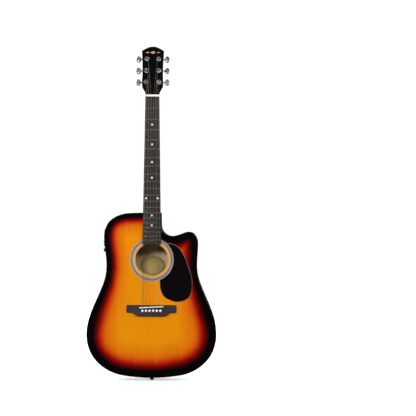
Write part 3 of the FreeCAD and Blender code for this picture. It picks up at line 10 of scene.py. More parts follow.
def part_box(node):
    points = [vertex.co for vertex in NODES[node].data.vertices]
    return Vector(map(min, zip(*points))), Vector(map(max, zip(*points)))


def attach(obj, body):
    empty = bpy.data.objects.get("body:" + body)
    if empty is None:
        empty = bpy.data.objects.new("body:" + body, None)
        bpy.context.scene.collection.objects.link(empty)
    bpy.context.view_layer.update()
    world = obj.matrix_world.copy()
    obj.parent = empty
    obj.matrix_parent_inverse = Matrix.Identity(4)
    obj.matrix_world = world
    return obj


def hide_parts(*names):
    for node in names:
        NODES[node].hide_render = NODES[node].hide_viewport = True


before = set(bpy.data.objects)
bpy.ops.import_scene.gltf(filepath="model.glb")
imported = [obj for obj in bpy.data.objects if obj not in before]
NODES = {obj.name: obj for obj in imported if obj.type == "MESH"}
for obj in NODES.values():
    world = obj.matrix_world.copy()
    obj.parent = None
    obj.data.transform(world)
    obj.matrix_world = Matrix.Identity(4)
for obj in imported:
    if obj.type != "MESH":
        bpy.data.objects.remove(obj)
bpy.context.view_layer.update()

bl_info = {
    "name": "Cutaway Acoustic Guitar",
    "version": (1, 0, 0),
    "blender": (4, 5, 0),
    "location": "View3D > Sidebar > Guitar",
    "description": "Finishes and small parts of a sunburst acoustic-electric guitar",
    "category": "Object",
}

MM = 0.001
BODY = "body_and_neck"


# ------------------------------------------------------------------ places taken from the frame
TOP_LOW, TOP_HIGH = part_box("soundboard")
TOP_Y = TOP_LOW.y                                   # outer face of the soundboard
TAIL_Z, SHOULDER_Z = TOP_LOW.z, TOP_HIGH.z
ROSETTE_LOW, ROSETTE_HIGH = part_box("rosette")
HOLE_Z = (ROSETTE_LOW.z + ROSETTE_HIGH.z) / 2
ROSETTE_OUT = (ROSETTE_HIGH.x - ROSETTE_LOW.x) / 2


# ------------------------------------------------------------------ sizes of what is added here
MERGE = 1e-6                                        # points nearer than this are one
EDGE_STEP = 2 * MM                                  # between the points of a plate's edge line
HOLE_MARGIN = 4 * MM                                # faces this near the sound hole are its own
PIN_HOLES = (45 * MM, 190 * MM, 250 * MM)           # half width, bottom and top of their room
# where the burst changes its width: shares of the body's height, and metres from the middle
NARROWING, BELOW_WAIST, SHOULDER = (0.26, 0.64), (0.4, 0.6), (0.84, 0.97)
TREBLE_SIDE, TREBLE_EXTRA = (0.0, 0.1), 0.11
HORN_SIDE, HORN_RISE = (0.03, 0.09), (0.62, 0.78)
# the head's inlay: height on the head's share, then name, place across, width and height in mm
INLAY_UP = 0.875
LOZENGES = (("head_inlay_middle", 0, 19, 9), ("head_inlay_left", -17, 12, 5),
            ("head_inlay_right", 17, 12, 5))
FOIL_THICK, FOIL_BORDER, FOIL_STEP, FOIL_SUNK = 0.16 * MM, 0.7 * MM, 0.2 * MM, 0.08 * MM
# printed marks and screws of the preamp's panel
INK_THICK, STROKE_WIDE = 0.05 * MM, 0.35 * MM
DIAL_RADIUS, DIAL_STROKE, DIAL_FIRST, DIAL_STEP = 6.6 * MM, 1.5 * MM, -150, 30
SLIDER_PITCH, SLIDER_STROKE, SLIDER_ABOVE = 3.5 * MM, 1.1 * MM, 0.5 * MM
SCREW_RADIUS, SCREW_TALL, SCREW_SUNK = 1.7 * MM, 1.2 * MM, 0.25 * MM
SCREW_IN_Y, SCREW_IN_Z = 4.5 * MM, 5.5 * MM         # screw from the panel's edges
# the stage, in metres
FLOOR_RADIUS, BACKDROP_RADIUS, BACKDROP_TALL = 9, 8.95, 14
AIM = (0.1722, 0.5344)                              # across and up, at the soundboard
LEAN = math.radians(-0.25)
SENSOR_MM = 36
# each light: place, width and height in metres, and its share of the key light's power. The
# front pair stands too far out to be mirrored in the flat top.
LIGHTS = {
    "front_left": ((-1.0, -4.1, 1.6), (0.8, 0.8), 1.5),
    "front_right": ((1.5, -4.1, 1.9), (0.8, 0.8), 0.8),
    "key_left": ((-2.6, -2.0, 1.9), (1.6, 2.2), 0.35),
    "key_right": ((2.6, -2.1, 1.5), (1.6, 2.2), 0.3),
    "top_soft": ((0, -0.9, 3.2), (2.6, 1.4), 0.3),
    "back_left": ((-2.4, 2.2, 1.8), (1.4, 2.0), 0.9),
    "back_right": ((2.4, 2.2, 1.8), (1.4, 2.0), 0.9),
}


# ------------------------------------------------------------------ settings a user would change
def shade(name, value, text):
    """A colour setting, given as sRGB hex."""
    return FloatVectorProperty(name=name, description=text, subtype="COLOR", size=4,
                               min=0, max=1, default=linear(value))


def linear(value):
    """An sRGB hex colour as linear RGBA. Any other value is passed on as it is."""
    if not isinstance(value, str):
        return value
    parts = [int(value[i:i + 2], 16) / 255 for i in (0, 2, 4)]
    return tuple(c / 12.92 if c <= 0.04045 else ((c + 0.055) / 1.055) ** 2.4
                 for c in parts) + (1.0,)


def length(name, millimetres, text):
    return FloatProperty(name=name, description=text, unit="LENGTH", subtype="DISTANCE",
                         min=0, default=millimetres * MM)


class GuitarBurstSettings(bpy.types.PropertyGroup):
    amber: shade("Amber", "E78D08", "Clear middle of the burst")
    orange: shade("Orange", "D9680A", "Ring between the amber and the red")
    red: shade("Red", "930E05", "Red ring before the edge turns black")
    black: shade("Edge black", "060304", "Opaque lacquer at the edge")
    black_width: length("Black width", 16, "Width of the black edge at the lower bout")
    amber_width: length("Fade width", 104, "Where the amber begins at the lower bout")
    upper_share: FloatProperty(name="Upper share", default=0.70, min=0.2, max=1.5,
                               subtype="FACTOR",
                               description="Width of the burst at the upper bout, by the lower")
    shoulder_share: FloatProperty(name="Shoulder share", default=0.60, min=0.2, max=1.5,
                                  subtype="FACTOR",
                                  description="Width of the burst under the top edge")
    horn_share: FloatProperty(name="Horn share", default=0.96, min=0.2, max=1.5,
                              subtype="FACTOR", description="Width of the burst on the horn")
    cell: length("Mesh cell", 6, "Size of the mesh cells that carry the burst")


class GuitarTrimSettings(bpy.types.PropertyGroup):
    rosewood: shade("Rosewood", "221F1E", "Fingerboard and bridge")
    bone: shade("Bone", "F1ECDF", "Nut, saddle and pins")
    chrome: shade("Chrome", "A9A7A5", "Tuners")
    bronze: shade("Bronze", "958C80", "Wound strings, aged grey")
    grain: length("Grain spacing", 1.6, "Distance between the growth rings of the top")
    wrap: length("Winding pitch", 0.9, "Drawn pitch of the wound strings' wrap")


class GuitarStageSettings(bpy.types.PropertyGroup):
    distance: length("Camera distance", 4500, "Camera to the soundboard")
    frame_width: length("Frame width", 1277, "Width seen at the soundboard")
    key_power: FloatProperty(name="Key light", default=72, min=0, unit="POWER",
                             description="Power of each large soft light")
    floor_tone: shade("Floor", "F4F4F2", "Floor and backdrop")


# ------------------------------------------------------------------ nodes and materials
SOFT = {"interpolation_type": "SMOOTHSTEP"}         # a range carried to another with soft ends
COLOUR = {"data_type": "RGBA"}                      # a mix of colours
EVEN = {"Scale": 1.0, "Roughness": 0.55}            # noise sized by its Mapping node


def add(tree, kind, *values, out=None, stops=(), **settings):
    """One node with its settings, values and links. The values go to its open inputs in order,
    and a setting with a capital names an input; each is a value or another node's output. The
    stops are a ramp's places and colours. Returns the output named, or the first open one."""
    node = tree.nodes.new("ShaderNode" + kind)
    for key, value in settings.items():
        if key[0].islower():
            setattr(node, key, value)
    inputs = [socket for socket in node.inputs if socket.enabled]
    named = {socket.name.replace(" ", "_"): socket for socket in reversed(inputs)}
    given = list(zip(inputs, values))
    given += [(named[key], value) for key, value in settings.items() if key[0].isupper()]
    for socket, value in given:
        if isinstance(value, bpy.types.NodeSocket):
            tree.links.new(value, socket)
        else:
            socket.default_value = linear(value)
    if stops:
        band = node.color_ramp.elements
        band.remove(band[-1])
        band[0].position, band[0].color = stops[0][0], linear(stops[0][1])
        for place, colour in stops[1:]:
            band.new(place).color = linear(colour)
    return node.outputs[out] if out else next(s for s in node.outputs if s.enabled)


def new_material(name, colour, roughness, metallic=0.0, coat=0.0, coat_roughness=0.03,
                 specular=0.5):
    """A material with one Principled shader. Returns it with its shader, the function that adds
    a node to it, and its place in metres."""
    material = bpy.data.materials.new(name)
    material.use_nodes = True
    shader = material.node_tree.nodes["Principled BSDF"]
    material.diffuse_color = linear(colour)
    for socket, amount in (("Base Color", linear(colour)), ("Roughness", roughness),
                           ("Metallic", metallic), ("Specular IOR Level", specular),
                           ("Coat Weight", coat), ("Coat Roughness", coat_roughness)):
        shader.inputs[socket].default_value = amount
    put = functools.partial(add, material.node_tree)
    return material, shader, put, put("TexCoord", out="Object")


def wire(shader, **outputs):
    """Link nodes' outputs to the shader's own inputs."""
    for name, output in outputs.items():
        shader.id_data.links.new(output, shader.inputs[name.replace("_", " ")])


# ------------------------------------------------------------------ the finishes
def lacquered_spruce():
    """Sunburst under thick polyester gloss: deep colour with one sharp reflection, fine straight
    growth rings showing in the amber, and none in the opaque black."""
    burst, trim = bpy.context.scene.guitar_burst, bpy.context.scene.guitar_trim
    # the coat alone shines
    material, shader, put, here = new_material(
        "sunburst_spruce", burst.amber, 0.42, coat=0.5, coat_roughness=0.02, specular=0.0)
    # growth rings: warped stripes across the width, one every grain spacing
    warp = put("TexNoise", put("Mapping", here, Scale=(18, 18, 2.2)), Detail=2, **EVEN)
    bent = put("Math", put("SeparateXYZ", here, out="X"),
               put("Math", warp, 0.016, operation="MULTIPLY"))
    turns = put("Math", bent, 2 * math.pi / trim.grain, operation="MULTIPLY")
    rings = put("MapRange", put("Math", turns, operation="SINE"), 0.1, 1, **SOFT)
    # each ring fades in and out along its length
    patch = put("TexNoise", put("Mapping", here, Scale=(230, 1, 6)), Detail=3, **EVEN)
    patch = put("MapRange", patch, 0.42, 0.66, **SOFT)
    ring_dark = put("Math", rings, put("Math", patch, 0.2, operation="MULTIPLY"),
                    operation="MULTIPLY")
    # silk across the grain and broad stains in the wood
    silk = put("TexNoise", put("Mapping", here, Scale=(420, 1, 60)), Detail=2, **EVEN)
    silk = put("MapRange", silk, 0.55, 0.8, **SOFT)
    broad = put("TexNoise", put("Mapping", here, Scale=(16, 1, 5)), Detail=3, **EVEN)
    streak = put("TexNoise", put("Mapping", here, Scale=(95, 1, 2.4)), Detail=2, **EVEN)
    # the burst: reach 0 at the edge, 1 where the amber begins, a little uneven
    cloud = put("TexNoise", put("Mapping", here, Scale=(22, 1, 22)), Detail=2, **EVEN)
    cloud = put("Math", put("Math", cloud, 0.5, operation="SUBTRACT"), 0.07,
                operation="MULTIPLY")
    reach = put("Math", put("Attribute", attribute_name="reach", out="Fac"), cloud)
    edge = burst.black_width / burst.amber_width

    def fade(share):
        """A place on the ramp, by its share of the fade from black to amber."""
        return edge + share * (1 - edge)

    colour = put("ValToRGB", reach, stops=[
        (0, "050304"), (fade(0), burst.black), (fade(0.05), "180304"),
        (fade(0.10), "3E0304"), (fade(0.17), "680405"),
        (fade(0.24), burst.red), (fade(0.31), "B22407"),
        (fade(0.40), "CA460A"), (fade(0.52), burst.orange),
        (fade(0.70), "DE7809"), (1, burst.amber)])
    wood = put("Mix", ring_dark, colour, "8A3D02", **COLOUR)
    wood = put("Mix", put("Math", silk, 0.10, operation="MULTIPLY"), wood, "FFC04A", **COLOUR)
    wood = put("Mix", put("MapRange", broad, 0.35, 0.7, 0, 0.22, **SOFT), wood,
               "D97A06", **COLOUR)
    wood = put("Mix", put("MapRange", streak, 0.5, 0.75, 0, 0.15, **SOFT), wood,
               "F2A524", **COLOUR)
    # opaque colour hides the wood, and a band round the hole stays clear
    wood = put("Mix", put("MapRange", reach, edge + 0.15, edge + 0.5, **SOFT), colour, wood,
               **COLOUR)
    from_hole = put("VectorMath", put("Mapping", here, (0, 0, -HOLE_Z), Scale=(1, 0, 1)),
                    operation="LENGTH")
    pale = put("MapRange", from_hole, ROSETTE_OUT - 12 * MM, ROSETTE_OUT - 10.5 * MM, 1, 0,
               **SOFT)
    natural = put("Mix", ring_dark, "D99C48", "9A621E", **COLOUR)
    wood = put("Mix", pale, wood, natural, **COLOUR)
    # the face inside the box is bare spruce
    inside = put("SeparateXYZ", put("NewGeometry", out="True Normal"), out="Y")
    bare = put("Mix", ring_dark, "D8B98C", "B08A58", **COLOUR)
    wood = put("Mix", put("MapRange", inside, 0.3, 0.6, **SOFT), wood, bare, **COLOUR)
    wire(shader, Base_Color=wood,
         Roughness=put("MapRange", streak, 0.3, 0.8, 0.34, 0.5, **SOFT),
         Normal=put("Bump", Height=rings, Strength=0.05, Distance=0.03 * MM))
    return material


def lacquered_mahogany():
    """Dark red-brown mahogany burst to black under gloss: pores in short vertical dashes."""
    material, shader, put, here = new_material(
        "burst_back_and_sides", "1E0A07", 0.4, coat=0.6, coat_roughness=0.02, specular=0.0)
    reach = put("Attribute", attribute_name="reach", out="Fac")
    # two leaves opened like a book: the figure is the same on both sides of the joint
    leaf = put("VectorMath", here, operation="ABSOLUTE")
    leaf = put("VectorMath", leaf, (60, 60, 1.6), operation="MULTIPLY")
    stripe = put("TexNoise", leaf, Detail=3, Distortion=0.6, **EVEN)
    stripe_share = put("MapRange", stripe, 0.35, 0.7, **SOFT)
    across = put("Math", put("SeparateXYZ", here, out="X"), operation="ABSOLUTE")
    joint = put("MapRange", across, 0.4 * MM, 0.9 * MM, 0.8, 0, **SOFT)
    pores = put("TexNoise", put("Mapping", here, Scale=(900, 900, 45)), Detail=1, **EVEN)
    pores = put("MapRange", pores, 0.62, 0.72, **SOFT)
    warm = put("Mix", stripe_share, "5A1C0E", "742C14", **COLOUR)
    warm = put("Mix", put("Math", pores, 0.55, operation="MULTIPLY"), warm, "1A0604", **COLOUR)
    warm = put("Mix", joint, warm, "1A0604", **COLOUR)
    colour = put("Mix", put("MapRange", reach, 0.25, 0.95, **SOFT), "070405", warm, **COLOUR)
    # the face inside the box is bare, pale and dry
    bare = put("Mix", stripe_share, "F2D6AC", "E2BE92", **COLOUR)
    bare = put("Mix", put("Math", pores, 0.25, operation="MULTIPLY"), bare, "A07850", **COLOUR)
    inside = put("SeparateXYZ", put("NewGeometry", out="True Normal"), out="Y")
    colour = put("Mix", put("MapRange", inside, -0.3, -0.6, **SOFT), colour, bare, **COLOUR)
    wire(shader, Base_Color=colour,
         Roughness=put("MapRange", stripe, 0.3, 0.8, 0.34, 0.46, **SOFT),
         Normal=put("Bump", Height=pores, Strength=0.05, Distance=0.05 * MM))
    return material


def side_lacquer():
    """Nearly black stained sides under a softer rubbed lacquer, with the wood just showing."""
    material, shader, put, here = new_material(
        "dark_side_lacquer", "0B0605", 0.4, coat=0.3, coat_roughness=0.32, specular=0.0)
    stripe = put("TexNoise", put("Mapping", here, Scale=(8, 60, 8)), Detail=3, **EVEN)
    pores = put("TexNoise", put("Mapping", here, Scale=(60, 900, 60)), Detail=1, **EVEN)
    pores = put("MapRange", pores, 0.6, 0.72, **SOFT)
    colour = put("Mix", put("MapRange", stripe, 0.35, 0.72, **SOFT), "0C0605",
                 "2C100A", **COLOUR)
    colour = put("Mix", put("Math", pores, 0.6, operation="MULTIPLY"), colour,
                 "040303", **COLOUR)
    wire(shader, Base_Color=colour,
         Roughness=put("MapRange", stripe, 0.3, 0.8, 0.34, 0.46, **SOFT))
    return material


def raw_wood(name, pale, dark, across=(40, 40, 3), pore=(700, 700, 30)):
    """Bare planed wood inside the box: dry, matt, with stripes and open pores."""
    material, shader, put, here = new_material(name, pale, 0.75)
    stripe = put("TexNoise", put("Mapping", here, Scale=across), Detail=4, **EVEN)
    pores = put("TexNoise", put("Mapping", here, Scale=pore), Detail=1, **EVEN)
    pores = put("MapRange", pores, 0.58, 0.74, **SOFT)
    colour = put("Mix", put("MapRange", stripe, 0.32, 0.7, **SOFT), pale, dark, **COLOUR)
    colour = put("Mix", put("Math", pores, 0.45, operation="MULTIPLY"), colour,
                 "5B3E28", **COLOUR)
    wire(shader, Base_Color=colour,
         Roughness=put("MapRange", stripe, 0.2, 0.8, 0.68, 0.86, **SOFT),
         Normal=put("Bump", Height=pores, Strength=0.25, Distance=0.1 * MM))
    return material


def gloss_plastic(name, colour, cloud, amount, roughness):
    """Polished celluloid or ABS: even colour with a sharp reflection and faint buffing marks."""
    material, shader, put, here = new_material(
        name, colour, roughness, coat=0.4, coat_roughness=0.04, specular=0.05)
    haze = put("TexNoise", put("Mapping", here, Scale=(30, 30, 30)), Detail=3, **EVEN)
    swirl = put("TexNoise", put("Mapping", here, Scale=(700, 700, 90)), Detail=2, **EVEN)
    wire(shader,
         Base_Color=put("Mix", put("Math", haze, amount, operation="MULTIPLY"),
                        colour, cloud, **COLOUR),
         Roughness=put("MapRange", swirl, 0.3, 0.8, roughness * 0.8, roughness * 1.6, **SOFT))
    return material


def bevelled_guard():
    """Black plastic sheet with a scraped bevel, duller than the face, painted pale pink there as
    a highlight.
    """
    material, shader, put, here = new_material(
        "pickguard_black", "0A0808", 0.14, coat=0.5, coat_roughness=0.03, specular=0.05)
    facing = put("SeparateXYZ", put("NewGeometry", out="True Normal"), out="Y")
    # faces that turn away from front and back are the bevel: their pale pink is a painted
    # highlight
    bevel_painted_highlight = put("MapRange", put("Math", facing, operation="ABSOLUTE"), 0.8, 0.95, 1, 0, **SOFT)
    scratch = put("TexNoise", put("Mapping", here, Scale=(500, 500, 60)), Detail=2, **EVEN)
    wire(shader,
         Base_Color=put("Mix", bevel_painted_highlight, "0A0808", "A5817A", **COLOUR),
         Roughness=put("Math", put("MapRange", scratch, 0.35, 0.8, 0.1, 0.2, **SOFT),
                       put("Math", bevel_painted_highlight, 0.3, operation="MULTIPLY")))
    return material


def rosewood(name, colour, streak_colour, pore_colour, streak, pore, dull):
    """Dark dyed rosewood, oiled and half-matt: long pores and brown streaks."""
    material, shader, put, here = new_material(name, colour, 0.5, specular=0.08)
    streak = put("TexNoise", put("Mapping", here, Scale=streak), Detail=4, Distortion=0.4,
                 **EVEN)
    pores = put("TexNoise", put("Mapping", here, Scale=pore), Detail=2, **EVEN)
    pores = put("MapRange", pores, 0.56, 0.7, **SOFT)
    wood = put("Mix", put("MapRange", streak, 0.36, 0.68, **SOFT), colour,
               streak_colour, **COLOUR)
    wood = put("Mix", put("Math", pores, 0.7, operation="MULTIPLY"), wood,
               pore_colour, **COLOUR)
    wire(shader, Base_Color=wood,
         Roughness=put("MapRange", streak, 0.3, 0.75, *dull, **SOFT),
         Normal=put("Bump", Height=put("Math", 1, pores, operation="SUBTRACT"),
                    Strength=0.3, Distance=0.08 * MM))
    return material


def stained_neck():
    """Dark stained mahogany neck, satin: pores run up the neck, a warm tint in the light."""
    material, shader, put, here = new_material(
        "neck_mahogany", "140A08", 0.38, coat=0.35, coat_roughness=0.3)
    stripe = put("TexNoise", put("Mapping", here, Scale=(90, 90, 3)), Detail=4, **EVEN)
    pores = put("TexNoise", put("Mapping", here, Scale=(1100, 1100, 40)), Detail=1, **EVEN)
    pores = put("MapRange", pores, 0.6, 0.72, **SOFT)
    colour = put("Mix", put("MapRange", stripe, 0.34, 0.72, **SOFT), "0E0706",
                 "2E120C", **COLOUR)
    colour = put("Mix", put("Math", pores, 0.7, operation="MULTIPLY"), colour,
                 "050303", **COLOUR)
    wire(shader, Base_Color=colour,
         Roughness=put("MapRange", stripe, 0.3, 0.8, 0.3, 0.46, **SOFT),
         Normal=put("Bump", Height=put("Math", 1, pores, operation="SUBTRACT"),
                    Strength=0.08, Distance=0.05 * MM))
    return material


def pale_bone():
    """Moulded bone-coloured plastic: creamy, slightly translucent, softly polished."""
    bone = bpy.context.scene.guitar_trim.bone
    material, shader, put, here = new_material("bone_white", bone, 0.3, coat=0.3,
                                               coat_roughness=0.1)
    cloud = put("TexNoise", put("Mapping", here, Scale=(260, 260, 260)), Detail=3, **EVEN)
    fleck = put("TexNoise", put("Mapping", here, Scale=(1500, 1500, 300)), Detail=2, **EVEN)
    wire(shader,
         Base_Color=put("Mix", put("MapRange", cloud, 0.3, 0.75, **SOFT), bone,
                        "E2D9C2", **COLOUR),
         Roughness=put("MapRange", fleck, 0.3, 0.8, 0.24, 0.4, **SOFT))
    shader.inputs["Subsurface Weight"].default_value = 0.08
    shader.inputs["Subsurface Radius"].default_value = (2 * MM, 1.5 * MM, 1 * MM)
    return material


def mother_of_pearl():
    """Pearl-look dots: white with soft cool and pink clouds in layers."""
    material, shader, put, here = new_material("pearl_dot", "F2F1EC", 0.18, coat=0.8,
                                               coat_roughness=0.05)
    layer = put("TexNoise", put("Mapping", here, Scale=(500, 500, 900)), Detail=3,
                Distortion=1.5, **EVEN)
    wire(shader,
         Base_Color=put("ValToRGB", layer, stops=[
             (0.3, "F6F4EE"), (0.45, "DDE6EA"),
             (0.55, "F3E4E4"), (0.7, "FBFAF5")]),
         Roughness=put("MapRange", layer, 0.3, 0.7, 0.12, 0.26, **SOFT))
    return material


def metal(name, colour, dark, roughness, stretch=(400, 400, 400)):
    """Bare or plated metal: mirror colour with fine wear that dulls it in patches."""
    material, shader, put, here = new_material(name, colour, roughness, metallic=1.0)
    wear = put("TexNoise", put("Mapping", here, Scale=stretch), Detail=3, **EVEN)
    cloud = put("TexNoise", put("Mapping", here, Scale=(60, 60, 60)), Detail=2, **EVEN)
    wire(shader,
         Base_Color=put("Mix", put("MapRange", cloud, 0.35, 0.75, 0, 0.5, **SOFT), colour,
                        dark, **COLOUR),
         Roughness=put("MapRange", wear, 0.3, 0.8, roughness * 0.7, roughness * 1.7 + 0.02,
                       **SOFT))
    return material


def wound_bronze():
    """Phosphor bronze wrap on a steel core: tight rings round the string. The wrap is drawn
    coarser than its real pitch, because it would be too fine to show."""
    trim = bpy.context.scene.guitar_trim
    material, shader, put, here = new_material("wound_bronze", trim.bronze, 0.34, metallic=1.0)
    turns = put("Math", put("SeparateXYZ", here, out="Z"), 2 * math.pi / trim.wrap,
                operation="MULTIPLY")
    wave = put("Math", turns, operation="SINE")
    # the grooves between the turns are low in the bump and painted darker, as shade
    groove_and_painted_shade = put("MapRange", wave, -1, 1, **SOFT)
    wire(shader,
         Base_Color=put("Mix", groove_and_painted_shade, "57514A", trim.bronze, **COLOUR),
         Roughness=put("MapRange", wave, -1, 1, 0.48, 0.28, **SOFT),
         Normal=put("Bump", Height=groove_and_painted_shade, Strength=0.6, Distance=0.1 * MM))
    return material


def moulded_case():
    """Spark-eroded black ABS: fine even grit that breaks up the light, a little worn gloss."""
    material, shader, put, here = new_material("moulded_black", "131416", 0.5)
    grit = put("TexNoise", put("Mapping", here, Scale=(1400, 1400, 1400)), Detail=2, **EVEN)
    smear = put("TexNoise", put("Mapping", here, Scale=(45, 45, 45)), Detail=3, **EVEN)
    wire(shader,
         Base_Color=put("Mix", put("MapRange", smear, 0.4, 0.8, 0, 0.5, **SOFT),
                        "131416", "1F2022", **COLOUR),
         Roughness=put("MapRange", smear, 0.3, 0.8, 0.42, 0.6, **SOFT),
         Normal=put("Bump", Height=grit, Strength=0.25, Distance=0.06 * MM))
    return material


def dark_display():
    """Clear lens over a dark display: black glass with a faint green block behind it."""
    material, shader, put, here = new_material("display_dark", "101614", 0.05, coat=1.0,
                                               coat_roughness=0.01)
    low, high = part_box("display_window")
    middle = (low + high) / 2
    flat = put("Mapping", here, (0, -middle.y, -middle.z), Scale=(0, 1, 1))
    block = put("MapRange", put("VectorMath", flat, operation="LENGTH"), 2 * MM, 4.6 * MM, 1, 0,
                **SOFT)
    grit = put("TexNoise", put("Mapping", here, Scale=(900, 900, 900)), Detail=1, **EVEN)
    glow = put("Math", block, put("MapRange", grit, 0.2, 0.8, 0.8, 1, **SOFT),
               operation="MULTIPLY")
    wire(shader, Base_Color=put("Mix", glow, "0B0E0E", "24332C", **COLOUR))
    return material


def circuit_lacquer():
    """Green solder mask with darker copper runs under it."""
    material, shader, put, here = new_material("board_green", "1B5A38", 0.3, coat=0.5)
    wire(shader, Base_Color=put(
        "TexBrick", put("Mapping", here, Scale=(1, 420, 420)), Scale=1.0, Mortar_Size=0.12,
        Color1="1B5A38", Color2="20663F", Mortar="123F28"))
    return material


def printed_label():
    """Matt printed paper: olive paper with a darker oval border line, blank inside."""
    material, shader, put, here = new_material("label_paper", "B2A468", 0.85)
    low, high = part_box("label")
    middle, half = (low + high) / 2, (high - low) / 2
    flat = put("Mapping", here, (-middle.x / half.x, 0, -middle.z / half.z),
               Scale=(1 / half.x, 0, 1 / half.z))
    fibre = put("TexNoise", put("Mapping", here, Scale=(900, 900, 900)), Detail=4, **EVEN)
    colour = put("ValToRGB", put("VectorMath", flat, operation="LENGTH"), stops=[
        (0, "B89C58"), (0.74, "AE9250"), (0.80, "A68A48"),
        (0.83, "7C6A33"), (0.87, "7C6A33"), (0.90, "B09454"),
        (0.94, "B09454"), (0.96, "746230"), (1, "746230")])
    wire(shader,
         Base_Color=put("Mix", put("Math", fibre, 0.18, operation="MULTIPLY"), colour,
                        "D8CC98", **COLOUR),
         Normal=put("Bump", Height=fibre, Strength=0.15, Distance=0.05 * MM))
    return material


def rosette_rings():
    """Inlaid plastic and wood rings under gloss: a grey-brown band between two pale lines, cut
    in short herringbone steps round the hole."""
    material, shader, put, here = new_material("rosette_inlay", "8B8276", 0.35, coat=1.0,
                                               coat_roughness=0.02)
    wide = 11 * MM
    steps = 150                                     # herringbone steps round the hole
    reach = put("VectorMath", put("Mapping", here, (0, 0, -HOLE_Z), Scale=(1, 0, 1)),
                operation="LENGTH")
    share = put("Math", put("Math", reach, ROSETTE_OUT - wide, operation="SUBTRACT"), wide,
                operation="DIVIDE")
    spin = put("TexGradient", put("Mapping", here, (0, -HOLE_Z, 0), (math.pi / 2, 0, 0)),
               gradient_type="RADIAL", out="Fac")
    teeth = put("Math", put("Math", spin, 2 * math.pi * steps, operation="MULTIPLY"),
                put("Math", share, 9, operation="MULTIPLY"))
    teeth = put("MapRange", put("Math", teeth, operation="SINE"), -0.3, 0.3, **SOFT)
    band = put("Mix", teeth, "686160", "7C7371", **COLOUR)
    line = put("ValToRGB", share, stops=[
        (0, "BCB09D"), (0.15, "BCB09D"), (0.19, "5C5250"),
        (0.24, "FFFFFF"), (0.76, "FFFFFF"), (0.80, "5C5250"),
        (0.84, "9E9694"), (1, "9E9694")])
    inside = put("Math", put("MapRange", share, 0.20, 0.24, **SOFT),
                 put("MapRange", share, 0.80, 0.76, **SOFT), operation="MULTIPLY")
    wire(shader, Base_Color=put("Mix", inside, line, band, **COLOUR))
    return material


def rubber_jacket():
    """Soft black cable jacket, a little dusty."""
    material, shader, put, here = new_material("cable_black", "101010", 0.7)
    dust = put("TexNoise", put("Mapping", here, Scale=(500, 500, 500)), Detail=3, **EVEN)
    wire(shader, Base_Color=put("Mix", put("MapRange", dust, 0.45, 0.8, 0, 0.5, **SOFT),
                                "101010", "262422", **COLOUR))
    return material


def white_print():
    """Screen-printed pale grey ink on the panel, a little broken up."""
    material, shader, put, here = new_material("panel_print", "B9BABA", 0.6)
    speck = put("TexNoise", put("Mapping", here, Scale=(1800, 1800, 1800)), Detail=2, **EVEN)
    wire(shader, Base_Color=put("Mix", put("MapRange", speck, 0.5, 0.75, 0, 0.5, **SOFT),
                                "B9BABA", "6A6B6B", **COLOUR))
    return material


def grip_plastic():
    """The controls' own black: a touch glossier than the panel, polished where fingers rub, and
    painted lighter there as a sheen.
    """
    material, shader, put, here = new_material("control_black", "17181A", 0.35)
    rub_and_painted_sheen = put("TexNoise", put("Mapping", here, Scale=(160, 160, 160)), Detail=3, **EVEN)
    # where fingers rub, the plastic is glossier and also painted lighter: a painted sheen
    wire(shader,
         Base_Color=put("Mix", put("MapRange", rub_and_painted_sheen, 0.4, 0.75, **SOFT), "131416",
                        "232426", **COLOUR),
         Roughness=put("MapRange", rub_and_painted_sheen, 0.3, 0.75, 0.46, 0.24, **SOFT))
    return material


# ------------------------------------------------------------------ modelling helpers
def nothing_selected():
    if bpy.context.object and bpy.context.object.mode != "OBJECT":
        bpy.ops.object.mode_set(mode="OBJECT")
    bpy.ops.object.select_all(action="DESELECT")


def make_active(piece):
    nothing_selected()
    piece.select_set(True)
    bpy.context.view_layer.objects.active = piece
    return piece


def place_in_mesh(piece):
    """Put the object's place, turn and size into its mesh."""
    make_active(piece)
    bpy.ops.object.transform_apply(location=True, rotation=True, scale=True)
    return piece


def finish_piece(piece, name, material, body=BODY):
    piece.name = piece.data.name = name
    piece.data.materials.clear()
    piece.data.materials.append(material)
    place_in_mesh(piece)
    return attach(piece, body)


def copy_of_node(name, new_name):
    """A merged copy of a CAD node's mesh, free to be worked on."""
    nothing_selected()
    piece = NODES[name].copy()
    piece.data = NODES[name].data.copy()
    for key in list(piece.keys()):
        if key.startswith("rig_"):
            del piece[key]
    bpy.context.scene.collection.objects.link(piece)
    piece.parent = None
    piece.matrix_world = Matrix.Identity(4)
    piece.name = piece.data.name = new_name
    make_active(piece)
    if piece.data.has_custom_normals:
        bpy.ops.mesh.customdata_custom_splitnormals_clear()
    bpy.ops.object.mode_set(mode="EDIT")
    bpy.ops.mesh.select_all(action="SELECT")
    bpy.ops.mesh.remove_doubles(threshold=MERGE)
    bpy.ops.object.mode_set(mode="OBJECT")
    return piece


def select_faces(piece, test):
    """Select the faces whose centre and normal pass a test, in edit mode's face mode."""
    make_active(piece)
    bpy.ops.object.mode_set(mode="EDIT")
    bpy.ops.mesh.select_mode(type="FACE")
    bpy.ops.mesh.select_all(action="DESELECT")
    bpy.ops.object.mode_set(mode="OBJECT")
    for face in piece.data.polygons:
        face.select = test(face.center, face.normal)
    bpy.ops.object.mode_set(mode="EDIT")


def bevelled(piece, width_mm, segments=2, angle=40):
    make_active(piece)
    modifier = piece.modifiers.new("rounded edges", "BEVEL")
    modifier.width = width_mm * MM
    modifier.segments = segments
    modifier.limit_method = "ANGLE"
    modifier.angle_limit = math.radians(angle)
    bpy.ops.object.modifier_apply(modifier=modifier.name)
    return piece


def smoothed(piece, angle=35):
    make_active(piece)
    bpy.ops.object.shade_smooth_by_angle(angle=math.radians(angle))
    return piece


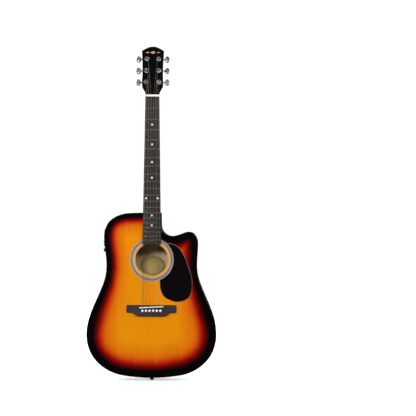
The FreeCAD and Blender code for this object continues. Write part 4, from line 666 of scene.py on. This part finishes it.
def gridded(piece, cell):
    """Cut the flat faces into cells, so that an attribute can follow the surface."""
    make_active(piece)
    low = [min(v.co[i] for v in piece.data.vertices) for i in range(3)]
    high = [max(v.co[i] for v in piece.data.vertices) for i in range(3)]
    bpy.ops.object.mode_set(mode="EDIT")
    for axis in (0, 2):
        normal = (1, 0, 0) if axis == 0 else (0, 0, 1)
        for step in range(1, int((high[axis] - low[axis]) / cell) + 1):
            point = [0, 0, 0]
            point[axis] = low[axis] + step * cell
            bpy.ops.mesh.select_all(action="SELECT")
            bpy.ops.mesh.bisect(plane_co=point, plane_no=normal, threshold=1e-5)
    bpy.ops.object.mode_set(mode="OBJECT")
    return piece


def outer_line(piece):
    """Points close together along the plate's outer edge, from the side faces round it."""
    points = []
    for face in piece.data.polygons:
        if abs(face.normal.y) > 0.5:
            continue
        here = Vector((face.center.x, 0, face.center.z))
        if (here - Vector((0, 0, HOLE_Z))).length < ROSETTE_OUT + HOLE_MARGIN:
            continue
        if abs(here.x) < PIN_HOLES[0] and PIN_HOLES[1] < here.z < PIN_HOLES[2]:
            continue
        ring = [piece.data.vertices[i].co for i in face.vertices]
        for a, b in zip(ring, ring[1:] + ring[:1]):
            parts = max(1, int((b - a).length / EDGE_STEP))
            points += [Vector((a.x + (b.x - a.x) * k / parts, 0, a.z + (b.z - a.z) * k / parts))
                       for k in range(parts)]
    return points


def eased(value, low, high):
    """0 below one value, 1 above another, with soft ends."""
    t = min(1.0, max(0.0, (value - low) / (high - low)))
    return t * t * (3 - 2 * t)


def burst_width(x, z):
    """How wide the burst is at a place, by its width at the lower bout."""
    burst = bpy.context.scene.guitar_burst
    up = (z - TAIL_Z) / (SHOULDER_Z - TAIL_Z)
    share = 1 + (burst.upper_share - 1) * eased(up, *NARROWING)
    share += TREBLE_EXTRA * eased(x, *TREBLE_SIDE) * (1 - eased(up, *BELOW_WAIST))
    share += (burst.shoulder_share - burst.upper_share) * eased(up, *SHOULDER)
    horn = eased(x, *HORN_SIDE) * eased(up, *HORN_RISE)
    return share + (burst.horn_share - share) * horn


def store_reach(piece, line):
    """Write each corner's distance from the outer edge, by the burst's width there."""
    tree = KDTree(len(line))
    for index, point in enumerate(line):
        tree.insert(point, index)
    tree.balance()
    width = bpy.context.scene.guitar_burst.amber_width
    values = []
    for vertex in piece.data.vertices:
        flat = Vector((vertex.co.x, 0, vertex.co.z))
        values.append(tree.find(flat)[2] / width / burst_width(vertex.co.x, vertex.co.z))
    attribute = piece.data.attributes.new("reach", "FLOAT", "POINT")
    attribute.data.foreach_set("value", values)


def burst_plate(node, name, material):
    """A plate of the box with its burst stored on a fine mesh."""
    piece = copy_of_node(node, name)
    line = outer_line(piece)
    gridded(piece, bpy.context.scene.guitar_burst.cell)
    store_reach(piece, line)
    smoothed(piece, 30)
    finish_piece(piece, name, material)
    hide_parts(node)
    return piece


def finish_node(node, material, smooth_angle=None):
    """Give a CAD node its finish, and smooth its curved faces."""
    piece = NODES[node]
    piece.data.materials.clear()
    piece.data.materials.append(material)
    if smooth_angle:
        weld = piece.modifiers.new("joined faces", "WELD")
        weld.merge_threshold = MERGE
        split = piece.modifiers.new("crisp edges", "EDGE_SPLIT")
        split.split_angle = math.radians(smooth_angle)
        for face in piece.data.polygons:
            face.use_smooth = True


# ------------------------------------------------------------------ operators, one per group
class GUITAR_OT_top(bpy.types.Operator):
    """Cut the soundboard's burst into its own mesh and finish it"""
    bl_idname = "guitar.top"
    bl_label = "Sunburst top"

    def execute(self, context):
        burst_plate("soundboard", "sunburst_top", lacquered_spruce())
        finish_node("rosette", rosette_rings())
        return {"FINISHED"}


class GUITAR_OT_back(bpy.types.Operator):
    """Finish the back and the sides"""
    bl_idname = "guitar.back"
    bl_label = "Back and sides"

    def execute(self, context):
        burst_plate("back_plate", "burst_back", lacquered_mahogany())
        finish_node("ribs", side_lacquer(), 30)
        return {"FINISHED"}


class GUITAR_OT_binding(bpy.types.Operator):
    """Black binding round both edges, and the heel's cap"""
    bl_idname = "guitar.binding"
    bl_label = "Binding"

    def execute(self, context):
        black = gloss_plastic("edge_binding", "070607", "151213", 0.6, 0.09)
        for node in ("front_binding", "back_binding", "heel_cap"):
            finish_node(node, black, 40)
        return {"FINISHED"}


class GUITAR_OT_inside(bpy.types.Operator):
    """Raw wood, label and wiring inside the box"""
    bl_idname = "guitar.inside"
    bl_label = "Inside of the box"

    def execute(self, context):
        wood = raw_wood("inner_spruce", "C9A983", "A88560")
        for node in ("x_brace", "top_braces", "back_braces", "neck_block", "tail_block",
                     "bridge_plate"):
            finish_node(node, wood)
        lining = raw_wood("lining_wood", "B79A78", "94764F", (40, 40, 40), (400, 400, 400))
        for node in ("front_lining", "back_lining"):
            finish_node(node, lining, 30)
        finish_node("label", printed_label(), 30)
        finish_node("wiring", rubber_jacket(), 50)
        finish_node("truss_rod", metal("plated_steel", "A3A5A6", "6E7072", 0.35), 40)
        finish_node("end_pin_nut", bpy.data.materials["plated_steel"], 40)
        return {"FINISHED"}


class GUITAR_OT_neck(bpy.types.Operator):
    """Neck, fingerboard, frets, dots and nut"""
    bl_idname = "guitar.neck"
    bl_label = "Neck and fingerboard"

    def execute(self, context):
        finish_node("neck", stained_neck(), 35)
        board = rosewood("dark_rosewood", context.scene.guitar_trim.rosewood, "332E2B",
                         "120E0D", (260, 260, 6), (1500, 1500, 70), (0.42, 0.6))
        finish_node("fingerboard", board, 30)
        finish_node("frets", metal("fret_nickel", "6E6A64", "58544F", 0.3, (200, 2000, 2000)),
                    60)
        pearl = mother_of_pearl()
        finish_node("position_dots", pearl, 30)
        finish_node("side_dots", pearl, 30)
        finish_node("nut", pale_bone(), 40)
        finish_node("headstock_veneer", gloss_plastic("head_face", "080708", "120F10", 0.5,
                                                      0.08), 30)
        return {"FINISHED"}


class GUITAR_OT_bridge(bpy.types.Operator):
    """Bridge, saddle, pins and pickguard"""
    bl_idname = "guitar.bridge"
    bl_label = "Bridge and pickguard"

    def execute(self, context):
        wood = rosewood("bridge_rosewood", "2F2C2B", "3F3B3A", "141010",
                        (7, 260, 260), (70, 1500, 1500), (0.4, 0.58))
        finish_node("bridge", wood, 30)
        bone = bpy.data.materials["bone_white"]
        finish_node("saddle", bone, 40)
        finish_node("bridge_pins", bone, 40)
        finish_node("pickup_strip", metal("piezo_braid", "B09670", "7A6646", 0.4))
        finish_node("pickguard", bevelled_guard())
        return {"FINISHED"}


def head_face():
    """A point on the head's front face at the centre line, and the face's normal."""
    mesh = NODES["headstock_veneer"].data
    face = max((f for f in mesh.polygons if f.normal.y < -0.8), key=lambda f: f.area)
    return face.center.copy(), face.normal.copy()


def on_head(up):
    """A place on the head's face at a height above the origin, and the face's tilt."""
    point, normal = head_face()
    y = point.y - (up - point.z) * normal.z / normal.y
    return Vector((0, y, up)), math.atan2(normal.z, -normal.y)


def lozenge(wide, tall):
    """A thin lozenge facing forward at the origin, its border raised like a laid-in line."""
    nothing_selected()
    bpy.ops.mesh.primitive_circle_add(vertices=4, radius=1, fill_type="NGON",
                                      rotation=(math.pi / 2, 0, 0))
    piece = bpy.context.object
    piece.scale = (wide / 2, tall / 2, 1)
    place_in_mesh(piece)
    bpy.ops.object.mode_set(mode="EDIT")
    bpy.ops.mesh.select_all(action="SELECT")
    bpy.ops.mesh.extrude_region_move(TRANSFORM_OT_translate={"value": (0, -FOIL_THICK, 0)})
    bpy.ops.mesh.inset(thickness=FOIL_BORDER, depth=0)
    bpy.ops.mesh.inset(thickness=FOIL_STEP, depth=-FOIL_SUNK)
    bpy.ops.mesh.select_all(action="SELECT")
    bpy.ops.mesh.normals_make_consistent(inside=False)
    bpy.ops.object.mode_set(mode="OBJECT")
    return bevelled(piece, 0.04, 1)


class GUITAR_OT_inlay(bpy.types.Operator):
    """Three gold lozenges laid into the head's face"""
    bl_idname = "guitar.inlay"
    bl_label = "Head inlay"

    def execute(self, context):
        gold = metal("gold_foil", "BC9266", "8A6640", 0.4)
        low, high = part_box("headstock_veneer")
        place, tilt = on_head(low.z + INLAY_UP * (high.z - low.z))
        for name, across, wide, tall in LOZENGES:
            piece = lozenge(wide * MM, tall * MM)
            piece.location = place + Vector((across * MM, 0, 0))
            piece.rotation_euler = (-tilt, 0, 0)
            finish_piece(piece, name, gold)
        return {"FINISHED"}


class GUITAR_OT_strings(bpy.types.Operator):
    """Wound and plain strings"""
    bl_idname = "guitar.strings"
    bl_label = "Strings"

    def execute(self, context):
        finish_node("wound_strings", wound_bronze(), 60)
        finish_node("plain_strings", metal("plain_steel", "B4B5B6", "8E8F90", 0.42,
                                           (900, 900, 60)), 60)
        return {"FINISHED"}


class GUITAR_OT_tuners(bpy.types.Operator):
    """Chrome tuners and their screws"""
    bl_idname = "guitar.tuners"
    bl_label = "Tuners"

    def execute(self, context):
        trim = context.scene.guitar_trim
        chrome = metal("chrome_hardware", trim.chrome, "8C8A87", 0.26, (160, 160, 160))
        for node in ("tuner_housings", "tuner_bushings", "tuner_washers", "tuner_screws"):
            finish_node(node, chrome, 35)
        for number in range(1, 7):
            finish_node(f"tuner_post_{number}", chrome, 35)
            finish_node(f"tuner_button_{number}", chrome, 50)
        return {"FINISHED"}


class GUITAR_OT_preamp(bpy.types.Operator):
    """Preamp panel, its controls and what stands behind it"""
    bl_idname = "guitar.preamp"
    bl_label = "Preamp"

    def execute(self, context):
        case = moulded_case()
        grip = grip_plastic()
        for node in ("preamp_housing", "preamp_panel", "battery_door"):
            finish_node(node, case, 30)
        for node in ("volume_knob", "bass_slider", "treble_slider", "tuner_switch"):
            finish_node(node, grip, 35)
        finish_node("display_window", dark_display())
        finish_node("circuit_board", circuit_lacquer(), 30)
        finish_node("battery", metal("battery_case", "5A5D63", "2C2E32", 0.4), 30)
        return {"FINISHED"}


def on_panel(y, z):
    """Where the panel's curved front stands at a place, and which way it faces there."""
    hit, place, normal, _ = NODES["preamp_panel"].ray_cast(Vector((-1, y, z)), Vector((1, 0, 0)))
    if not hit:
        raise RuntimeError(f"no panel at {y:.4f}, {z:.4f}")
    return place, normal


def facing_out(piece, place, normal, turn=0.0):
    """Set a piece drawn facing up onto the panel, turned about its own axis."""
    piece.rotation_mode = "QUATERNION"
    piece.rotation_quaternion = (normal.to_track_quat("Z", "Y")
                                 @ Matrix.Rotation(turn, 3, "Z").to_quaternion())
    piece.location = place
    return place_in_mesh(piece)


def flat_turn(normal, direction):
    """How far a piece facing along the normal turns for its X axis to point a given way."""
    flat = normal.to_track_quat("Z", "Y").inverted() @ direction
    return math.atan2(flat.y, flat.x)


def printed_stroke(long):
    """One printed stroke: a sliver with rounded ends, drawn lying flat."""
    nothing_selected()
    bpy.ops.mesh.primitive_circle_add(vertices=12, radius=STROKE_WIDE / 2, fill_type="NGON")
    piece = bpy.context.object
    bpy.ops.object.mode_set(mode="EDIT")
    bpy.ops.mesh.select_mode(type="VERT")
    bpy.ops.mesh.select_all(action="DESELECT")
    bpy.ops.object.mode_set(mode="OBJECT")
    for vertex in piece.data.vertices:
        vertex.select = vertex.co.x > MERGE
    bpy.ops.object.mode_set(mode="EDIT")
    bpy.ops.transform.translate(value=(long - STROKE_WIDE, 0, 0))
    bpy.ops.mesh.select_all(action="SELECT")
    bpy.ops.mesh.extrude_region_move(TRANSFORM_OT_translate={"value": (0, 0, INK_THICK)})
    bpy.ops.mesh.select_all(action="SELECT")
    bpy.ops.mesh.normals_make_consistent(inside=False)
    bpy.ops.object.mode_set(mode="OBJECT")
    return piece


def panel_screw():
    """A small countersunk screw with a round-cornered socket, drawn facing up."""
    nothing_selected()
    bpy.ops.mesh.primitive_cylinder_add(vertices=24, radius=SCREW_RADIUS, depth=SCREW_TALL)
    piece = bpy.context.object
    select_faces(piece, lambda centre, normal: normal.z > 0.9)
    bpy.ops.mesh.inset(thickness=0.75 * MM, depth=0.25 * MM)
    bpy.ops.mesh.inset(thickness=0.12 * MM, depth=-0.7 * MM)
    bpy.ops.object.mode_set(mode="OBJECT")
    bevelled(piece, 0.12, 2)
    return smoothed(piece, 40)


def joined(pieces):
    nothing_selected()
    for piece in pieces:
        piece.select_set(True)
    bpy.context.view_layer.objects.active = pieces[0]
    bpy.ops.object.join()
    return pieces[0]


class GUITAR_OT_panel_marks(bpy.types.Operator):
    """Printed marks round the knob and beside the sliders, and the panel's screws"""
    bl_idname = "guitar.panel_marks"
    bl_label = "Panel marks and screws"

    def execute(self, context):
        low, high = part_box("volume_knob")
        knob = (low + high) / 2
        strokes = []
        for step in range(11):
            turn = math.radians(DIAL_FIRST + DIAL_STEP * step)
            outward = Vector((0, math.sin(turn), math.cos(turn)))
            place, normal = on_panel(knob.y + DIAL_RADIUS * outward.y,
                                     knob.z + DIAL_RADIUS * outward.z)
            strokes.append(facing_out(printed_stroke(DIAL_STROKE), place, normal,
                                      flat_turn(normal, outward)))
        for node in ("bass_slider", "treble_slider"):
            low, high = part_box(node)
            for step in range(-2, 3):
                place, normal = on_panel((low.y + high.y) / 2 + step * SLIDER_PITCH,
                                         high.z + SLIDER_ABOVE)
                strokes.append(facing_out(printed_stroke(SLIDER_STROKE), place, normal,
                                          flat_turn(normal, Vector((0, 0, 1)))))
        finish_piece(joined(strokes), "panel_marks", white_print())
        low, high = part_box("preamp_panel")
        steel = metal("blackened_steel", "3A3A3C", "222223", 0.35)
        screws = []
        for y in (low.y + SCREW_IN_Y, high.y - SCREW_IN_Y):
            for z in (low.z + SCREW_IN_Z, high.z - SCREW_IN_Z):
                place, normal = on_panel(y, z)
                screws.append(facing_out(panel_screw(), place - normal * SCREW_SUNK, normal))
        finish_piece(joined(screws), "panel_screws", steel)
        return {"FINISHED"}


class GUITAR_OT_end_pin(bpy.types.Operator):
    """Black end pin with its jack"""
    bl_idname = "guitar.end_pin"
    bl_label = "End pin"

    def execute(self, context):
        finish_node("end_pin", metal("end_pin_black", "1B1B1D", "0C0C0D", 0.22), 35)
        return {"FINISHED"}


def stage_piece(name, material):
    """Put the new primitive on the stage. It lights no black gloss, so the blacks stay deep."""
    piece = place_in_mesh(bpy.context.object)
    piece.name = name
    piece.data.materials.append(material)
    piece.visible_glossy = piece.visible_diffuse = False


def soft_light(name, place, size, power):
    """A rectangular soft light that looks at the middle of the guitar."""
    nothing_selected()
    bpy.ops.object.light_add(type="AREA", location=place)
    light = bpy.context.object
    light.name = name
    light.data.shape = "RECTANGLE"
    light.data.size, light.data.size_y = size
    light.data.energy = power
    direction = Vector((0, TOP_Y, 0.5)) - Vector(place)
    light.rotation_euler = direction.to_track_quat("-Z", "Y").to_euler()


class GUITAR_OT_stage(bpy.types.Operator):
    """Pale floor, backdrop, soft lights and the camera"""
    bl_idname = "guitar.stage"
    bl_label = "Stage"

    def execute(self, context):
        stage = context.scene.guitar_stage
        # the floor glows, a painted light that is dimmer round the guitar and brighter away from
        # it, to meet the backdrop without a line
        concrete, shader, put, here = new_material("pale_floor", stage.floor_tone, 0.9)
        shader.inputs["Emission Color"].default_value = (1, 1, 1, 1)
        wire(shader, Emission_Strength=put("MapRange", put("VectorMath", here,
                                                           operation="LENGTH"),
                                           0.5, 3, 0.62, 1, **SOFT))
        nothing_selected()
        bpy.ops.mesh.primitive_circle_add(vertices=96, radius=FLOOR_RADIUS, fill_type="NGON")
        stage_piece("floor", concrete)

        paper, shader, _, _ = new_material("white_paper", stage.floor_tone, 0.9)
        shader.inputs["Emission Color"].default_value = (1, 1, 1, 1)
        shader.inputs["Emission Strength"].default_value = 0.95
        nothing_selected()
        bpy.ops.mesh.primitive_cylinder_add(
            vertices=96, radius=BACKDROP_RADIUS, depth=BACKDROP_TALL, end_fill_type="NOTHING",
            location=(0, 0, BACKDROP_TALL / 2 - 0.01))
        stage_piece("backdrop", paper)

        world = bpy.data.worlds.new("studio_air")
        world.use_nodes = True
        air = world.node_tree.nodes["Background"]
        air.inputs["Color"].default_value = linear("C8CCD2")
        air.inputs["Strength"].default_value = 0.06
        context.scene.world = world
        for name, (place, size, share) in LIGHTS.items():
            soft_light(name, place, size, stage.key_power * share)

        # the guitar stands a little left of the frame's middle, its head leaning right a hair
        nothing_selected()
        bpy.ops.object.camera_add(location=(AIM[0], TOP_Y - stage.distance, AIM[1]),
                                  rotation=(math.pi / 2, LEAN, 0))
        camera = bpy.context.object
        camera.name = "front_camera"
        camera.data.sensor_width = SENSOR_MM
        camera.data.lens = SENSOR_MM * stage.distance / stage.frame_width
        camera.data.clip_end = 100
        context.scene.camera = camera
        context.scene.view_settings.view_transform = "Standard"
        return {"FINISHED"}


OPERATORS = (GUITAR_OT_top, GUITAR_OT_back, GUITAR_OT_binding, GUITAR_OT_inside, GUITAR_OT_neck,
             GUITAR_OT_inlay, GUITAR_OT_bridge, GUITAR_OT_strings, GUITAR_OT_tuners,
             GUITAR_OT_preamp, GUITAR_OT_panel_marks, GUITAR_OT_end_pin, GUITAR_OT_stage)


class GUITAR_PT_panel(bpy.types.Panel):
    """The guitar's settings and steps"""
    bl_idname = "GUITAR_PT_panel"
    bl_label = "Acoustic guitar"
    bl_space_type = "VIEW_3D"
    bl_region_type = "UI"
    bl_category = "Guitar"

    def draw(self, context):
        scene = context.scene
        for group in (scene.guitar_burst, scene.guitar_trim, scene.guitar_stage):
            column = self.layout.box().column()
            for key in group.bl_rna.properties.keys():
                if key not in ("rna_type", "name"):
                    column.prop(group, key)
        for operator in OPERATORS:
            self.layout.operator(operator.bl_idname)


SETTINGS = {"guitar_burst": GuitarBurstSettings, "guitar_trim": GuitarTrimSettings,
            "guitar_stage": GuitarStageSettings}
CLASSES = (*SETTINGS.values(), *OPERATORS, GUITAR_PT_panel)


def register():
    for item in CLASSES:
        bpy.utils.register_class(item)
    for name, group in SETTINGS.items():
        setattr(bpy.types.Scene, name, PointerProperty(type=group))


def unregister():
    for name in SETTINGS:
        delattr(bpy.types.Scene, name)
    for item in reversed(CLASSES):
        bpy.utils.unregister_class(item)


def main():
    register()
    for operator in OPERATORS:
        group, name = operator.bl_idname.split(".")
        getattr(getattr(bpy.ops, group), name)()


if __name__ == "__main__":
    main()
